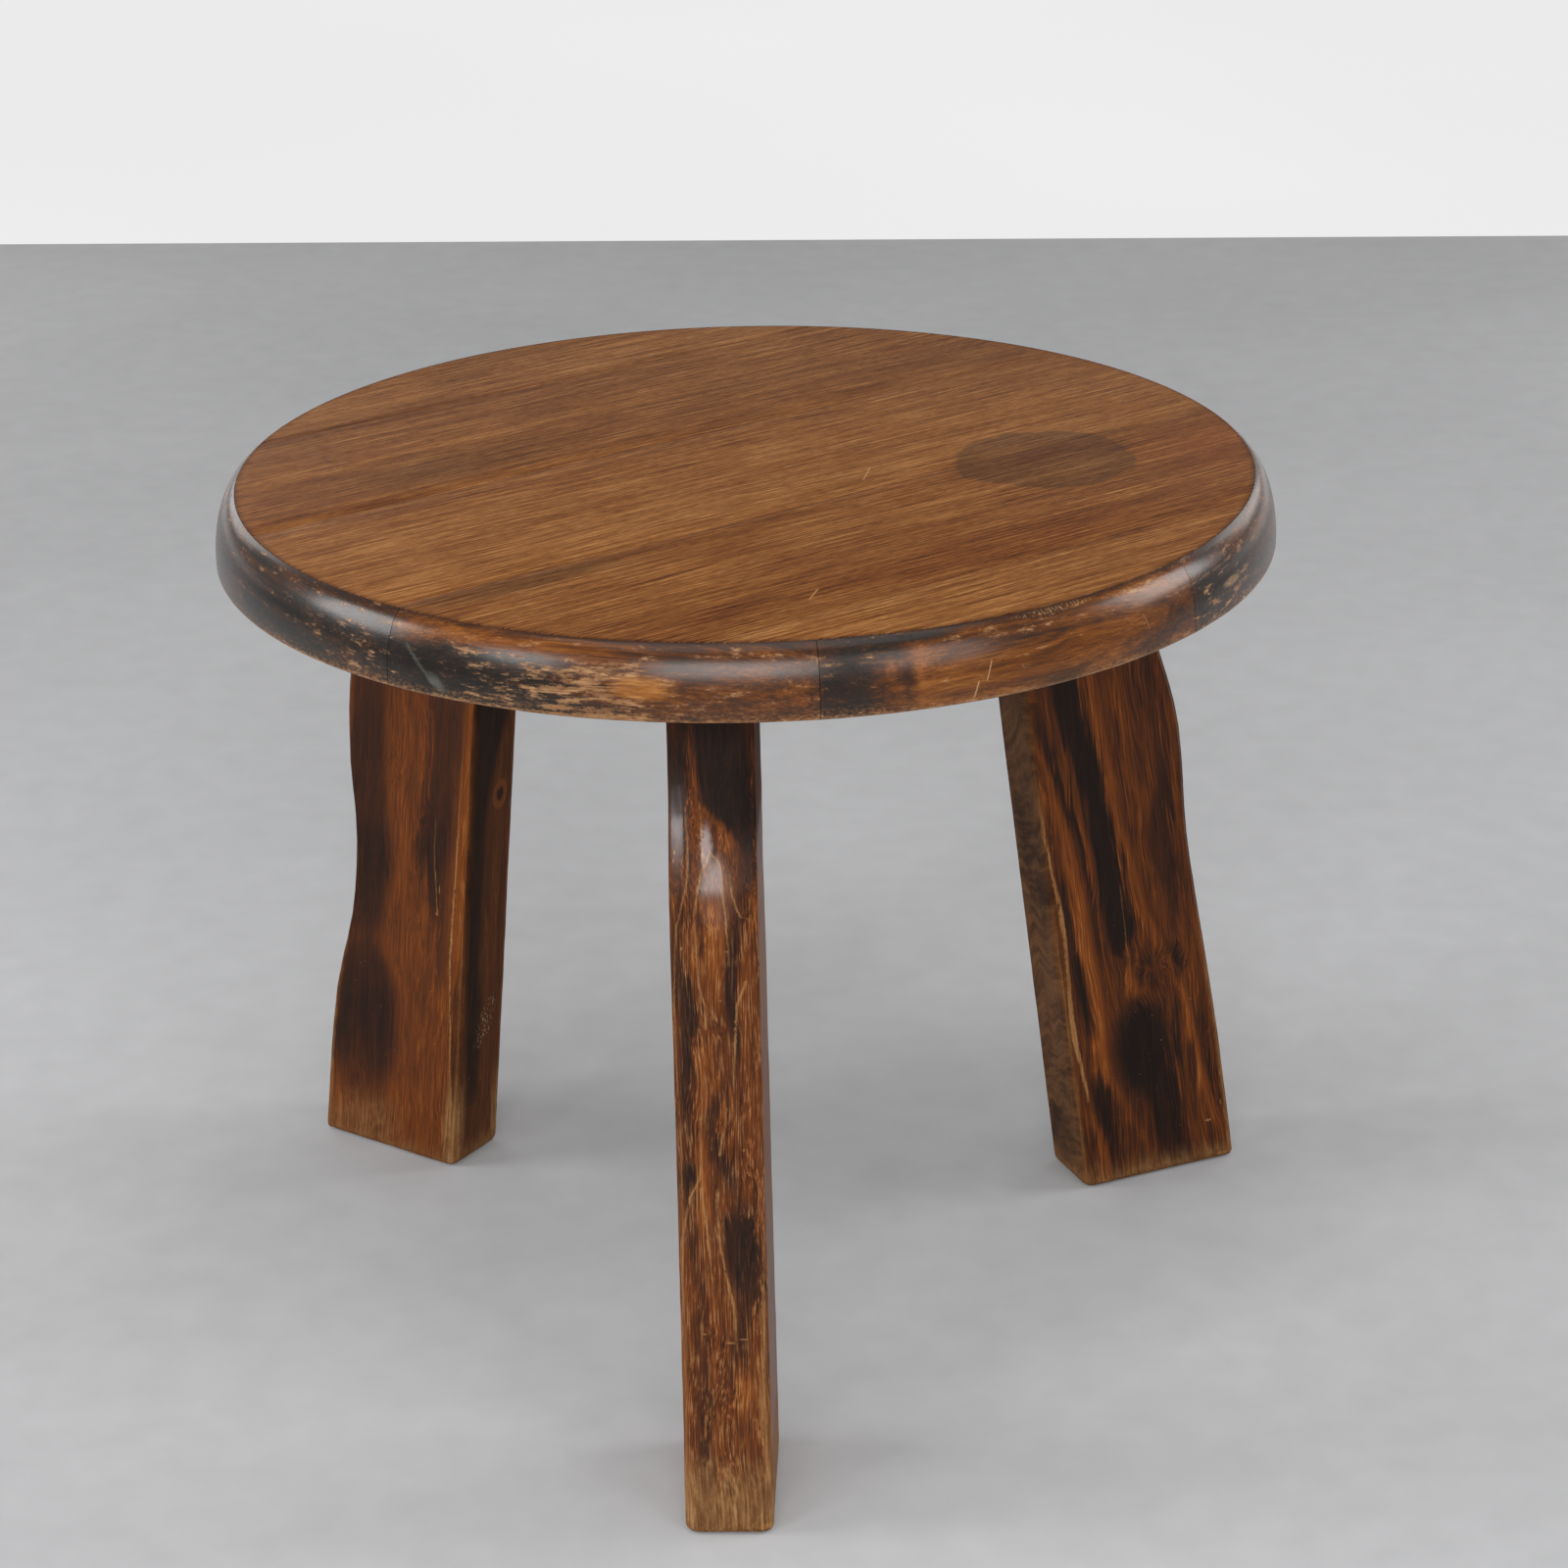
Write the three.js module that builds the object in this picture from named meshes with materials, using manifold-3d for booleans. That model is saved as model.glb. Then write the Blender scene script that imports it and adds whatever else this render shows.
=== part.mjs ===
// A cricket table: a round veneered top with a bullnose rim of solid segments, on three splayed slab legs.
// Units are millimetres, +Z is up, and the floor is at zero height.
import * as THREE from 'three';
import { mergeVertices } from 'three/addons/utils/BufferGeometryUtils.js';
import Module from 'manifold-3d';

const wasm = await Module();
wasm.setup();

// Overall sizes
const TABLE_HEIGHT = 503;
const TOP_RADIUS = 300;
const TOP_THICKNESS = 39;

// Gap that the glue fills between two joined pieces
const GLUE_LINE = 0.3;

// Veneers, and the margin of the rim that the face veneer leaves bare
const VENEER_THICKNESS = 0.9;
const VENEER_MARGIN = 13;

// Leaves of the face veneer, laid side by side along the grain: full leaves between two narrower ones at the edges
const FULL_LEAF_COUNT = 3;
const LOWER_EDGE_LEAF_WIDTH = 62.25;
const UPPER_EDGE_LEAF_WIDTH = 78.25;
const GRAIN_AZIMUTH = 38.4;

// Solid rim around the board
const RIM_WIDTH = 38;
const RIM_SEGMENT_COUNT = 8;
const FIRST_RIM_JOINT_AZIMUTH = -34.6;
const ROUNDOVER_REACH = 14.5;
const ROUNDOVER_DROP = 36;
const LOWER_ARRIS = 1.5;

// Loose tongues that hold the rim to the board and bridge the rim's joints
const TONGUE_THICKNESS = 8;
const TONGUE_WIDTH = 18;

// Legs: slabs stood on edge, each pointing away from the middle of the table
const FOOT_THICKNESS = 48.5;
const LEG_TOP_THICKNESS = 46;
const LEG_ARRIS = 6;
const FOOT_ROUNDING = 3;

const FRONT_LEG_AZIMUTH = -89;
const FRONT_FOOT_SIDESTEP = -6.4;
const FRONT_TOP_SIDESTEP = -9.9;
const FRONT_FOOT_OVERHANG = 19;
const FRONT_SLAB_WIDTH = 97;
const FRONT_LEG_LEAN = 57;

const LEFT_LEG_AZIMUTH = 149;
const LEFT_FOOT_SIDESTEP = 0;
const LEFT_TOP_SIDESTEP = 0;
const LEFT_FOOT_OVERHANG = 31;
const LEFT_SLAB_WIDTH = 107.5;
const LEFT_LEG_LEAN = 52.5;

const RIGHT_LEG_AZIMUTH = 26.5;
const RIGHT_FOOT_SIDESTEP = -1;
const RIGHT_TOP_SIDESTEP = -1;
const RIGHT_FOOT_OVERHANG = 19.5;
const RIGHT_SLAB_WIDTH = 107.5;
const RIGHT_LEG_LEAN = 60.5;

// Waved outer edge of each leg: share of the leg's length, width left there as a share of the slab's
const front_edge_shares = [
  [0, 1], [0.2, 0.976], [0.4, 0.956], [0.55, 0.961], [0.65, 0.971],
  [0.72, 0.982], [0.78, 0.949], [0.88, 0.81], [0.95, 0.785], [1, 0.798],
];
const left_edge_shares = [
  [0, 1], [0.224, 0.962], [0.353, 0.864], [0.474, 0.853],
  [0.588, 0.924], [0.703, 0.94], [0.85, 0.867], [1, 0.86],
];
const right_edge_shares = [
  [0, 1], [0.2, 0.985], [0.382, 0.947], [0.5, 0.925], [0.614, 0.95],
  [0.67, 0.949], [0.728, 0.913], [0.81, 0.841], [0.905, 0.817], [1, 0.841],
];

// Dowels that pin each leg to the board
const DOWEL_RADIUS = 6;
const DOWEL_DEPTH_IN_TOP = 26;
const DOWEL_DEPTH_IN_LEG = 44;
const DOWEL_END_ROOM = 1.5;
const dowel_place_shares = { inner: 0.2, middle: 0.5, outer: 0.8 };

// Facets of the round and waved shapes
const STEPS_PER_SEGMENT = 10;
const ROUNDOVER_STEPS = 7;
const ARRIS_STEPS = 2;
const LEG_STATIONS = 18;
const DOWEL_SIDES = 16;
const LEAF_EDGE_STEPS = 14;

// Cuts run this far past the faces that they go through
const OVERRUN = 2;

// Heights worked out from the sizes
const UNDERSIDE = TABLE_HEIGHT - TOP_THICKNESS;
const CORE_TOP = TABLE_HEIGHT - VENEER_THICKNESS - GLUE_LINE;
const CORE_BOTTOM = UNDERSIDE + VENEER_THICKNESS + GLUE_LINE;
const LEG_TOP = UNDERSIDE - GLUE_LINE;
const TONGUE_LEVEL = (CORE_TOP + CORE_BOTTOM) / 2;
const TONGUE_BOTTOM = TONGUE_LEVEL - TONGUE_THICKNESS / 2;
const TONGUE_TOP = TONGUE_LEVEL + TONGUE_THICKNESS / 2;

// Radii worked out from the sizes
const CORE_RADIUS = TOP_RADIUS - RIM_WIDTH;
const VENEER_RADIUS = TOP_RADIUS - VENEER_MARGIN;
const LEAF_WIDTH = (2 * VENEER_RADIUS - LOWER_EDGE_LEAF_WIDTH - UPPER_EDGE_LEAF_WIDTH) / FULL_LEAF_COUNT;
const RIM_INNER_RADIUS = CORE_RADIUS + GLUE_LINE;
const TONGUE_INNER_RADIUS = CORE_RADIUS - TONGUE_WIDTH / 2;
const TONGUE_OUTER_RADIUS = CORE_RADIUS + TONGUE_WIDTH / 2;
const RING_STEPS = RIM_SEGMENT_COUNT * STEPS_PER_SEGMENT;

const FULL_TURN = 2 * Math.PI;
const QUARTER_TURN = Math.PI / 2;
const SEGMENT_ANGLE = FULL_TURN / RIM_SEGMENT_COUNT;
const FIRST_JOINT = THREE.MathUtils.degToRad(FIRST_RIM_JOINT_AZIMUTH);

const woods = {
  veneer: new THREE.MeshStandardMaterial({ color: 0x8a5a33, roughness: 0.55, metalness: 0 }),
  board: new THREE.MeshStandardMaterial({ color: 0xb08c60, roughness: 0.8, metalness: 0 }),
  rim: new THREE.MeshStandardMaterial({ color: 0x5a3520, roughness: 0.35, metalness: 0 }),
  leg: new THREE.MeshStandardMaterial({ color: 0x6b3c1c, roughness: 0.45, metalness: 0 }),
  beech: new THREE.MeshStandardMaterial({ color: 0xc9a478, roughness: 0.7, metalness: 0 }),
};

// Triangles that fill a flat outline, all wound the way the outline runs
function capTriangles(outline) {
  const sense = Math.sign(THREE.ShapeUtils.area(outline));
  return THREE.ShapeUtils.triangulateShape(outline, []).map(([a, b, c]) => {
    const turn = THREE.ShapeUtils.area([outline[a], outline[b], outline[c]]);
    return Math.sign(turn) === sense ? [a, b, c] : [a, c, b];
  });
}

// A closed body through rings of points, with both end rings filled by the triangles of a flat outline
function loft(rings, outline) {
  const count = outline.length;
  const index = [];
  for (let k = 0; k + 1 < rings.length; k += 1) {
    for (let i = 0; i < count; i += 1) {
      const here = k * count + i;
      const next = k * count + ((i + 1) % count);
      index.push(here, next, next + count);
      index.push(here, next + count, here + count);
    }
  }
  const last = (rings.length - 1) * count;
  for (const [a, b, c] of capTriangles(outline)) {
    index.push(a, c, b);
    index.push(last + a, last + b, last + c);
  }
  const geometry = new THREE.BufferGeometry().setFromPoints(rings.flat());
  geometry.setIndex(index);
  return outward(geometry);
}

// The same body with its faces pointing out, whichever way its outline was drawn
function outward(geometry) {
  const points = geometry.getAttribute('position');
  const index = geometry.getIndex();
  const corners = [new THREE.Vector3(), new THREE.Vector3(), new THREE.Vector3()];
  let volume = 0;
  for (let t = 0; t < index.count; t += 3) {
    corners.forEach((corner, k) => corner.fromBufferAttribute(points, index.getX(t + k)));
    volume += corners[0].dot(corners[1].clone().cross(corners[2]));
  }
  if (volume < 0) {
    for (let t = 0; t < index.count; t += 3) {
      const second = index.getX(t + 1);
      index.setX(t + 1, index.getX(t + 2));
      index.setX(t + 2, second);
    }
  }
  const faceted = geometry.toNonIndexed();
  faceted.computeVertexNormals();
  return faceted;
}

// A flat outline in plan, carried straight up from one height to another
function prism(outline, bottom, top) {
  const rings = [bottom, top].map((z) => outline.map((p) => new THREE.Vector3(p.x, p.y, z)));
  return loft(rings, outline);
}

// A section of radius and height, swept about the table's axis between two angles
function arcSweep(section, start, end, steps) {
  const rings = [];
  for (let k = 0; k <= steps; k += 1) {
    const angle = start + ((end - start) * k) / steps;
    const along = (p) => new THREE.Vector3(p.x * Math.cos(angle), p.x * Math.sin(angle), p.y);
    rings.push(section.map(along));
  }
  return loft(rings, section);
}

function disc(radius) {
  const outline = [];
  for (let k = 0; k < RING_STEPS; k += 1) {
    const angle = FIRST_JOINT + (FULL_TURN * k) / RING_STEPS;
    outline.push(new THREE.Vector2(radius * Math.cos(angle), radius * Math.sin(angle)));
  }
  return outline;
}

function toSolid(geometry) {
  const bare = geometry.clone();
  bare.deleteAttribute('normal');
  bare.deleteAttribute('uv');
  const merged = mergeVertices(bare);
  const vertProperties = new Float32Array(merged.getAttribute('position').array);
  const triVerts = new Uint32Array(merged.getIndex().array);
  return new wasm.Manifold(new wasm.Mesh({ numProp: 3, vertProperties, triVerts }));
}

function toGeometry(solid) {
  const mesh = solid.getMesh();
  const geometry = new THREE.BufferGeometry();
  geometry.setAttribute('position', new THREE.BufferAttribute(new Float32Array(mesh.vertProperties), 3));
  geometry.setIndex(new THREE.BufferAttribute(new Uint32Array(mesh.triVerts), 1));
  const faceted = geometry.toNonIndexed();
  faceted.computeVertexNormals();
  return faceted;
}

function cut(geometry, cutters) {
  const body = cutters.reduce((solid, cutter) => solid.subtract(toSolid(cutter)), toSolid(geometry));
  return toGeometry(body);
}

function uprightCylinder(radius, bottom, top) {
  const cylinder = new THREE.CylinderGeometry(radius, radius, top - bottom, DOWEL_SIDES);
  cylinder.rotateX(QUARTER_TURN);
  cylinder.translate(0, 0, (bottom + top) / 2);
  return cylinder;
}

const legs = [
  {
    name: 'front',
    azimuth: FRONT_LEG_AZIMUTH,
    footSidestep: FRONT_FOOT_SIDESTEP,
    topSidestep: FRONT_TOP_SIDESTEP,
    overhang: FRONT_FOOT_OVERHANG,
    slabWidth: FRONT_SLAB_WIDTH,
    lean: FRONT_LEG_LEAN,
    edgeShares: front_edge_shares,
  },
  {
    name: 'left',
    azimuth: LEFT_LEG_AZIMUTH,
    footSidestep: LEFT_FOOT_SIDESTEP,
    topSidestep: LEFT_TOP_SIDESTEP,
    overhang: LEFT_FOOT_OVERHANG,
    slabWidth: LEFT_SLAB_WIDTH,
    lean: LEFT_LEG_LEAN,
    edgeShares: left_edge_shares,
  },
  {
    name: 'right',
    azimuth: RIGHT_LEG_AZIMUTH,
    footSidestep: RIGHT_FOOT_SIDESTEP,
    topSidestep: RIGHT_TOP_SIDESTEP,
    overhang: RIGHT_FOOT_OVERHANG,
    slabWidth: RIGHT_SLAB_WIDTH,
    lean: RIGHT_LEG_LEAN,
    edgeShares: right_edge_shares,
  },
];

// Width of a leg at a share of its length, on a smooth curve through its waved outline
function legWidth(leg, share) {
  const points = leg.edgeShares;
  const after = points.findIndex(([height]) => height >= share);
  const k = Math.max(after, 1);
  const [h0, w0] = points[k - 1];
  const [h1, w1] = points[k];
  const before = points[Math.max(k - 2, 0)];
  const beyond = points[Math.min(k + 1, points.length - 1)];
  const slopeIn = (w1 - before[1]) / (h1 - before[0]);
  const slopeOut = (beyond[1] - w0) / (beyond[0] - h0);
  const t = (share - h0) / (h1 - h0);
  const rise = (w1 - w0) * t * t * (3 - 2 * t);
  const lean = (h1 - h0) * t * (1 - t) * (slopeIn * (1 - t) - slopeOut * t);
  return leg.slabWidth * (w0 + rise + lean);
}

// Inner and outer radius, thickness and sideways place of a leg at a height
function legSize(leg, z) {
  const share = z / LEG_TOP;
  const inner = TOP_RADIUS + leg.overhang - leg.slabWidth - leg.lean * share;
  return {
    inner,
    outer: inner + legWidth(leg, share),
    thickness: THREE.MathUtils.lerp(FOOT_THICKNESS, LEG_TOP_THICKNESS, share),
    sidestep: THREE.MathUtils.lerp(leg.footSidestep, leg.topSidestep, share),
  };
}

// Level section of a leg: a rectangle with rounded corners, drawn in by an inset
function legSection(leg, z, inset) {
  const { inner, outer, thickness, sidestep } = legSize(leg, z);
  const centre = (inner + outer) / 2;
  const halfLength = (outer - inner) / 2 - inset;
  const halfWidth = thickness / 2 - inset;
  const section = [];
  for (let corner = 0; corner < 4; corner += 1) {
    const alongSign = corner === 0 || corner === 3 ? 1 : -1;
    const acrossSign = corner < 2 ? 1 : -1;
    for (let k = 0; k <= ARRIS_STEPS; k += 1) {
      const angle = QUARTER_TURN * (corner + k / ARRIS_STEPS);
      const x = centre + alongSign * (halfLength - LEG_ARRIS) + LEG_ARRIS * Math.cos(angle);
      const y = sidestep + acrossSign * (halfWidth - LEG_ARRIS) + LEG_ARRIS * Math.sin(angle);
      section.push(new THREE.Vector2(x, y));
    }
  }
  return section;
}

function legBlank(leg) {
  const stations = [];
  for (let k = 0; k < ARRIS_STEPS; k += 1) {
    const angle = (QUARTER_TURN * k) / ARRIS_STEPS;
    const z = FOOT_ROUNDING * (1 - Math.cos(angle));
    stations.push({ z, inset: FOOT_ROUNDING * (1 - Math.sin(angle)) });
  }
  for (let k = 0; k <= LEG_STATIONS; k += 1) {
    const z = k === LEG_STATIONS ? LEG_TOP : THREE.MathUtils.lerp(FOOT_ROUNDING, LEG_TOP, k / LEG_STATIONS);
    stations.push({ z, inset: 0 });
  }
  const sections = stations.map(({ z, inset }) => legSection(leg, z, inset));
  const rings = sections.map((section, k) => section.map((p) => new THREE.Vector3(p.x, p.y, stations[k].z)));
  return loft(rings, sections[0]);
}

// Where the dowels of a leg stand, by name, in the leg's own axes: in the leg's width, inside the board's groove
function dowelPlaces(leg) {
  const { inner, outer, sidestep } = legSize(leg, LEG_TOP);
  const limit = Math.min(outer, TONGUE_INNER_RADIUS - GLUE_LINE);
  return Object.entries(dowel_place_shares).map(([name, share]) => {
    return { name, x: THREE.MathUtils.lerp(inner, limit, share), y: sidestep };
  });
}

function dowelHole(place, bottom, top) {
  return uprightCylinder(DOWEL_RADIUS + GLUE_LINE, bottom, top).translate(place.x, place.y, 0);
}

const table = new THREE.Group();

function addPiece(parent, name, geometry, material) {
  const mesh = new THREE.Mesh(geometry, material.clone());
  mesh.name = name;
  parent.add(mesh);
  return mesh;
}

// Board with a groove around its edge and the dowel holes in its underside
function corePanel(holes) {
  const half = [
    new THREE.Vector2(0, CORE_BOTTOM),
    new THREE.Vector2(CORE_RADIUS, CORE_BOTTOM),
    new THREE.Vector2(CORE_RADIUS, TONGUE_BOTTOM - GLUE_LINE),
    new THREE.Vector2(TONGUE_INNER_RADIUS - GLUE_LINE, TONGUE_BOTTOM - GLUE_LINE),
    new THREE.Vector2(TONGUE_INNER_RADIUS - GLUE_LINE, TONGUE_TOP + GLUE_LINE),
    new THREE.Vector2(CORE_RADIUS, TONGUE_TOP + GLUE_LINE),
    new THREE.Vector2(CORE_RADIUS, CORE_TOP),
    new THREE.Vector2(0, CORE_TOP),
  ];
  const panel = new THREE.LatheGeometry(half, RING_STEPS);
  panel.rotateX(QUARTER_TURN);
  panel.rotateZ(FIRST_JOINT + QUARTER_TURN);
  return cut(panel, holes);
}

// Plan outline of the face veneer's leaf between two lines across the grain
function leafOutline(from, to) {
  const start = Math.asin(THREE.MathUtils.clamp(from / VENEER_RADIUS, -1, 1));
  const end = Math.asin(THREE.MathUtils.clamp(to / VENEER_RADIUS, -1, 1));
  const turn = THREE.MathUtils.degToRad(GRAIN_AZIMUTH);
  const outline = [];
  const addArc = (first, last) => {
    for (let k = 0; k <= LEAF_EDGE_STEPS; k += 1) {
      const angle = turn + first + ((last - first) * k) / LEAF_EDGE_STEPS;
      const point = new THREE.Vector2(Math.cos(angle), Math.sin(angle)).multiplyScalar(VENEER_RADIUS);
      const seen = outline.some((other) => other.distanceTo(point) < GLUE_LINE);
      if (!seen) {
        outline.push(point);
      }
    }
  };
  addArc(start, end);
  addArc(Math.PI - end, Math.PI - start);
  return outline;
}

function addFaceVeneer() {
  const seams = [-VENEER_RADIUS - OVERRUN];
  for (let k = 0; k <= FULL_LEAF_COUNT; k += 1) {
    seams.push(LOWER_EDGE_LEAF_WIDTH - VENEER_RADIUS + k * LEAF_WIDTH);
  }
  seams.push(VENEER_RADIUS + OVERRUN);
  for (let k = 1; k < seams.length; k += 1) {
    const outline = leafOutline(seams[k - 1] + GLUE_LINE / 2, seams[k] - GLUE_LINE / 2);
    addPiece(table, `face_leaf_${k}`, prism(outline, TABLE_HEIGHT - VENEER_THICKNESS, TABLE_HEIGHT), woods.veneer);
  }
}

// Section of the rim: land under the veneer, bullnose outside, groove for the tongue inside
function rimSection() {
  const centre = TOP_RADIUS - ROUNDOVER_REACH;
  const shoulder = TABLE_HEIGHT - ROUNDOVER_DROP;
  const first = Math.asin((CORE_TOP - shoulder) / ROUNDOVER_DROP);
  const section = [];
  for (let k = 0; k <= ROUNDOVER_STEPS; k += 1) {
    const angle = first * (1 - k / ROUNDOVER_STEPS);
    const r = centre + ROUNDOVER_REACH * Math.cos(angle);
    const z = k === 0 ? CORE_TOP : shoulder + ROUNDOVER_DROP * Math.sin(angle);
    section.push(new THREE.Vector2(r, z));
  }
  section.push(new THREE.Vector2(TOP_RADIUS, UNDERSIDE + LOWER_ARRIS));
  section.push(new THREE.Vector2(TOP_RADIUS - LOWER_ARRIS, UNDERSIDE));
  section.push(new THREE.Vector2(RIM_INNER_RADIUS, UNDERSIDE));
  section.push(new THREE.Vector2(RIM_INNER_RADIUS, TONGUE_BOTTOM - GLUE_LINE));
  section.push(new THREE.Vector2(TONGUE_OUTER_RADIUS + GLUE_LINE, TONGUE_BOTTOM - GLUE_LINE));
  section.push(new THREE.Vector2(TONGUE_OUTER_RADIUS + GLUE_LINE, TONGUE_TOP + GLUE_LINE));
  section.push(new THREE.Vector2(RIM_INNER_RADIUS, TONGUE_TOP + GLUE_LINE));
  section.push(new THREE.Vector2(RIM_INNER_RADIUS, CORE_TOP));
  return section;
}

function addRim() {
  const section = rimSection();
  const trim = GLUE_LINE / 2 / CORE_RADIUS;
  for (let k = 0; k < RIM_SEGMENT_COUNT; k += 1) {
    const start = FIRST_JOINT + k * SEGMENT_ANGLE;
    const segment = arcSweep(section, start + trim, start + SEGMENT_ANGLE - trim, STEPS_PER_SEGMENT);
    addPiece(table, `rim_segment_${k + 1}`, segment, woods.rim);
  }
}

function addTongues() {
  const section = [
    new THREE.Vector2(TONGUE_INNER_RADIUS, TONGUE_BOTTOM),
    new THREE.Vector2(TONGUE_OUTER_RADIUS, TONGUE_BOTTOM),
    new THREE.Vector2(TONGUE_OUTER_RADIUS, TONGUE_TOP),
    new THREE.Vector2(TONGUE_INNER_RADIUS, TONGUE_TOP),
  ];
  const trim = GLUE_LINE / 2 / TONGUE_INNER_RADIUS;
  for (let k = 0; k < RIM_SEGMENT_COUNT; k += 1) {
    const middle = FIRST_JOINT + k * SEGMENT_ANGLE;
    const start = middle - SEGMENT_ANGLE / 2 + trim;
    const end = middle + SEGMENT_ANGLE / 2 - trim;
    addPiece(table, `rim_tongue_${k + 1}`, arcSweep(section, start, end, STEPS_PER_SEGMENT), woods.beech);
  }
}

function addLeg(leg) {
  const frame = new THREE.Group();
  frame.rotation.z = THREE.MathUtils.degToRad(leg.azimuth);
  table.add(frame);
  const places = dowelPlaces(leg);
  const holeBottom = UNDERSIDE - DOWEL_DEPTH_IN_LEG - DOWEL_END_ROOM;
  const holes = places.map((place) => dowelHole(place, holeBottom, UNDERSIDE + OVERRUN));
  addPiece(frame, `leg_${leg.name}`, cut(legBlank(leg), holes), woods.leg);
  for (const place of places) {
    const dowel = uprightCylinder(DOWEL_RADIUS, UNDERSIDE - DOWEL_DEPTH_IN_LEG, UNDERSIDE + DOWEL_DEPTH_IN_TOP);
    addPiece(frame, `dowel_${leg.name}_${place.name}`, dowel.translate(place.x, place.y, 0), woods.beech);
  }
}

// Holes for every leg's dowels, cut into the underside of the top
function topHoles() {
  const top = UNDERSIDE + DOWEL_DEPTH_IN_TOP + DOWEL_END_ROOM;
  return legs.flatMap((leg) => {
    const turn = THREE.MathUtils.degToRad(leg.azimuth);
    return dowelPlaces(leg).map((place) => dowelHole(place, UNDERSIDE - OVERRUN, top).rotateZ(turn));
  });
}

function backingVeneer(holes) {
  return cut(prism(disc(CORE_RADIUS), UNDERSIDE, UNDERSIDE + VENEER_THICKNESS), holes);
}

const holes = topHoles();
addPiece(table, 'core_panel', corePanel(holes), woods.board);
addPiece(table, 'backing_veneer', backingVeneer(holes), woods.veneer);
addFaceVeneer();
addRim();
addTongues();
legs.forEach(addLeg);

// The origin is the middle of the whole table's plan, on the floor
const box = new THREE.Box3().setFromObject(table, true);
const middle = box.getCenter(new THREE.Vector3());
table.position.set(-middle.x, -middle.y, 0);

export default table;
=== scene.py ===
import math
from types import SimpleNamespace

import bmesh
import bpy
from mathutils import Matrix, Vector


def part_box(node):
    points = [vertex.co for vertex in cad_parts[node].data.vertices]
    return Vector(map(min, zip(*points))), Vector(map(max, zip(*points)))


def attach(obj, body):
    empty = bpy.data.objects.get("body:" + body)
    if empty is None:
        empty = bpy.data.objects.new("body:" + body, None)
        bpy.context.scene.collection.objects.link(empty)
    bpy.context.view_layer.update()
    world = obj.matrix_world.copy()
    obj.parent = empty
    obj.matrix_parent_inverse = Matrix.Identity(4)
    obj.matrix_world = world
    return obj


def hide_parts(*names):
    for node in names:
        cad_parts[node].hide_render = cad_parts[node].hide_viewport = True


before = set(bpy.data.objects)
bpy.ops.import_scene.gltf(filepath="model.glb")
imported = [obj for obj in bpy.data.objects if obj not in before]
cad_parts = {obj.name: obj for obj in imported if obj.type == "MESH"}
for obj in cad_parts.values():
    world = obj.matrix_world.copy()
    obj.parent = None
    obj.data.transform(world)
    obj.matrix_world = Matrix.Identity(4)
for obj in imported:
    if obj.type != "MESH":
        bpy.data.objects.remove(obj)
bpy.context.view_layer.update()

MM = 0.001
RIM_NODES = [f"rim_segment_{k}" for k in range(1, 9)]
LEAF_NODES = [f"face_leaf_{k}" for k in range(1, 6)]
LEG_NAMES = ("front", "left", "right")


def box_of(nodes):
    """Lowest and highest corner of several pieces of the frame together."""
    corners = [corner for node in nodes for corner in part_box(node)]
    return (Vector(map(min, zip(*corners))), Vector(map(max, zip(*corners))))


# The top's own axis, and the sizes of the top
RIM_LOW, RIM_HIGH = box_of(RIM_NODES)
AXIS = Vector(((RIM_LOW.x + RIM_HIGH.x) / 2, (RIM_LOW.y + RIM_HIGH.y) / 2, 0))
TOP_RADIUS = (RIM_HIGH.x - RIM_LOW.x) / 2
TABLE_HEIGHT = box_of(LEAF_NODES)[1].z
UNDERSIDE = RIM_LOW.z
LEG_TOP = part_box("leg_front")[1].z

VENEER_THICKNESS = 0.9 * MM
VENEER_RADIUS = 287 * MM
GRAIN_AZIMUTH = math.radians(38.4)
SEAMS = [v * MM for v in (-224.75, -80.25, 64.25, 208.75)]
GLUE_LINE = 0.3 * MM

RIM_INNER_RADIUS = 262.3 * MM
ROUNDOVER_REACH, ROUNDOVER_DROP, ROUNDOVER_STEPS = 14.5 * MM, 36 * MM, 16
LOWER_ARRIS, LOWER_ARRIS_STEPS = 1.5 * MM, 4
GROOVE_DEPTH = 9 * MM
GROOVE_HALF_HEIGHT = 4.3 * MM
FIRST_JOINT, SEGMENT = -34.6, 45.0  # degrees
ARC = 5  # millimetres of the rim's face to a degree, near enough
RIM_STEPS = 40

DOWEL_ROOM = 0.3 * MM
DOWEL_DEPTH = 45.5 * MM

# What counts as one point, as a sliver of a leaf and as one height
SAME_POINT, SLIVER, SAME_HEIGHT = 0.001 * MM, 0.02 * MM, 0.1 * MM

LEAF_ARRIS = 0.12 * MM
LIP_ROOM = 0.25 * MM
SEGMENT_TRIM = 0.05 * MM
SOFT_EDGE = 1 * MM
FOOT_ROUNDING = 5 * MM
FLOOR_ROOM = 0.1 * MM

# How wide the worn places are, and how deep
RIM_DENTS = (30 * MM, 0.25 * MM)
LEG_PLANING = (50 * MM, 0.6 * MM)
LEG_DENTS = (12 * MM, 0.25 * MM)

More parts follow.
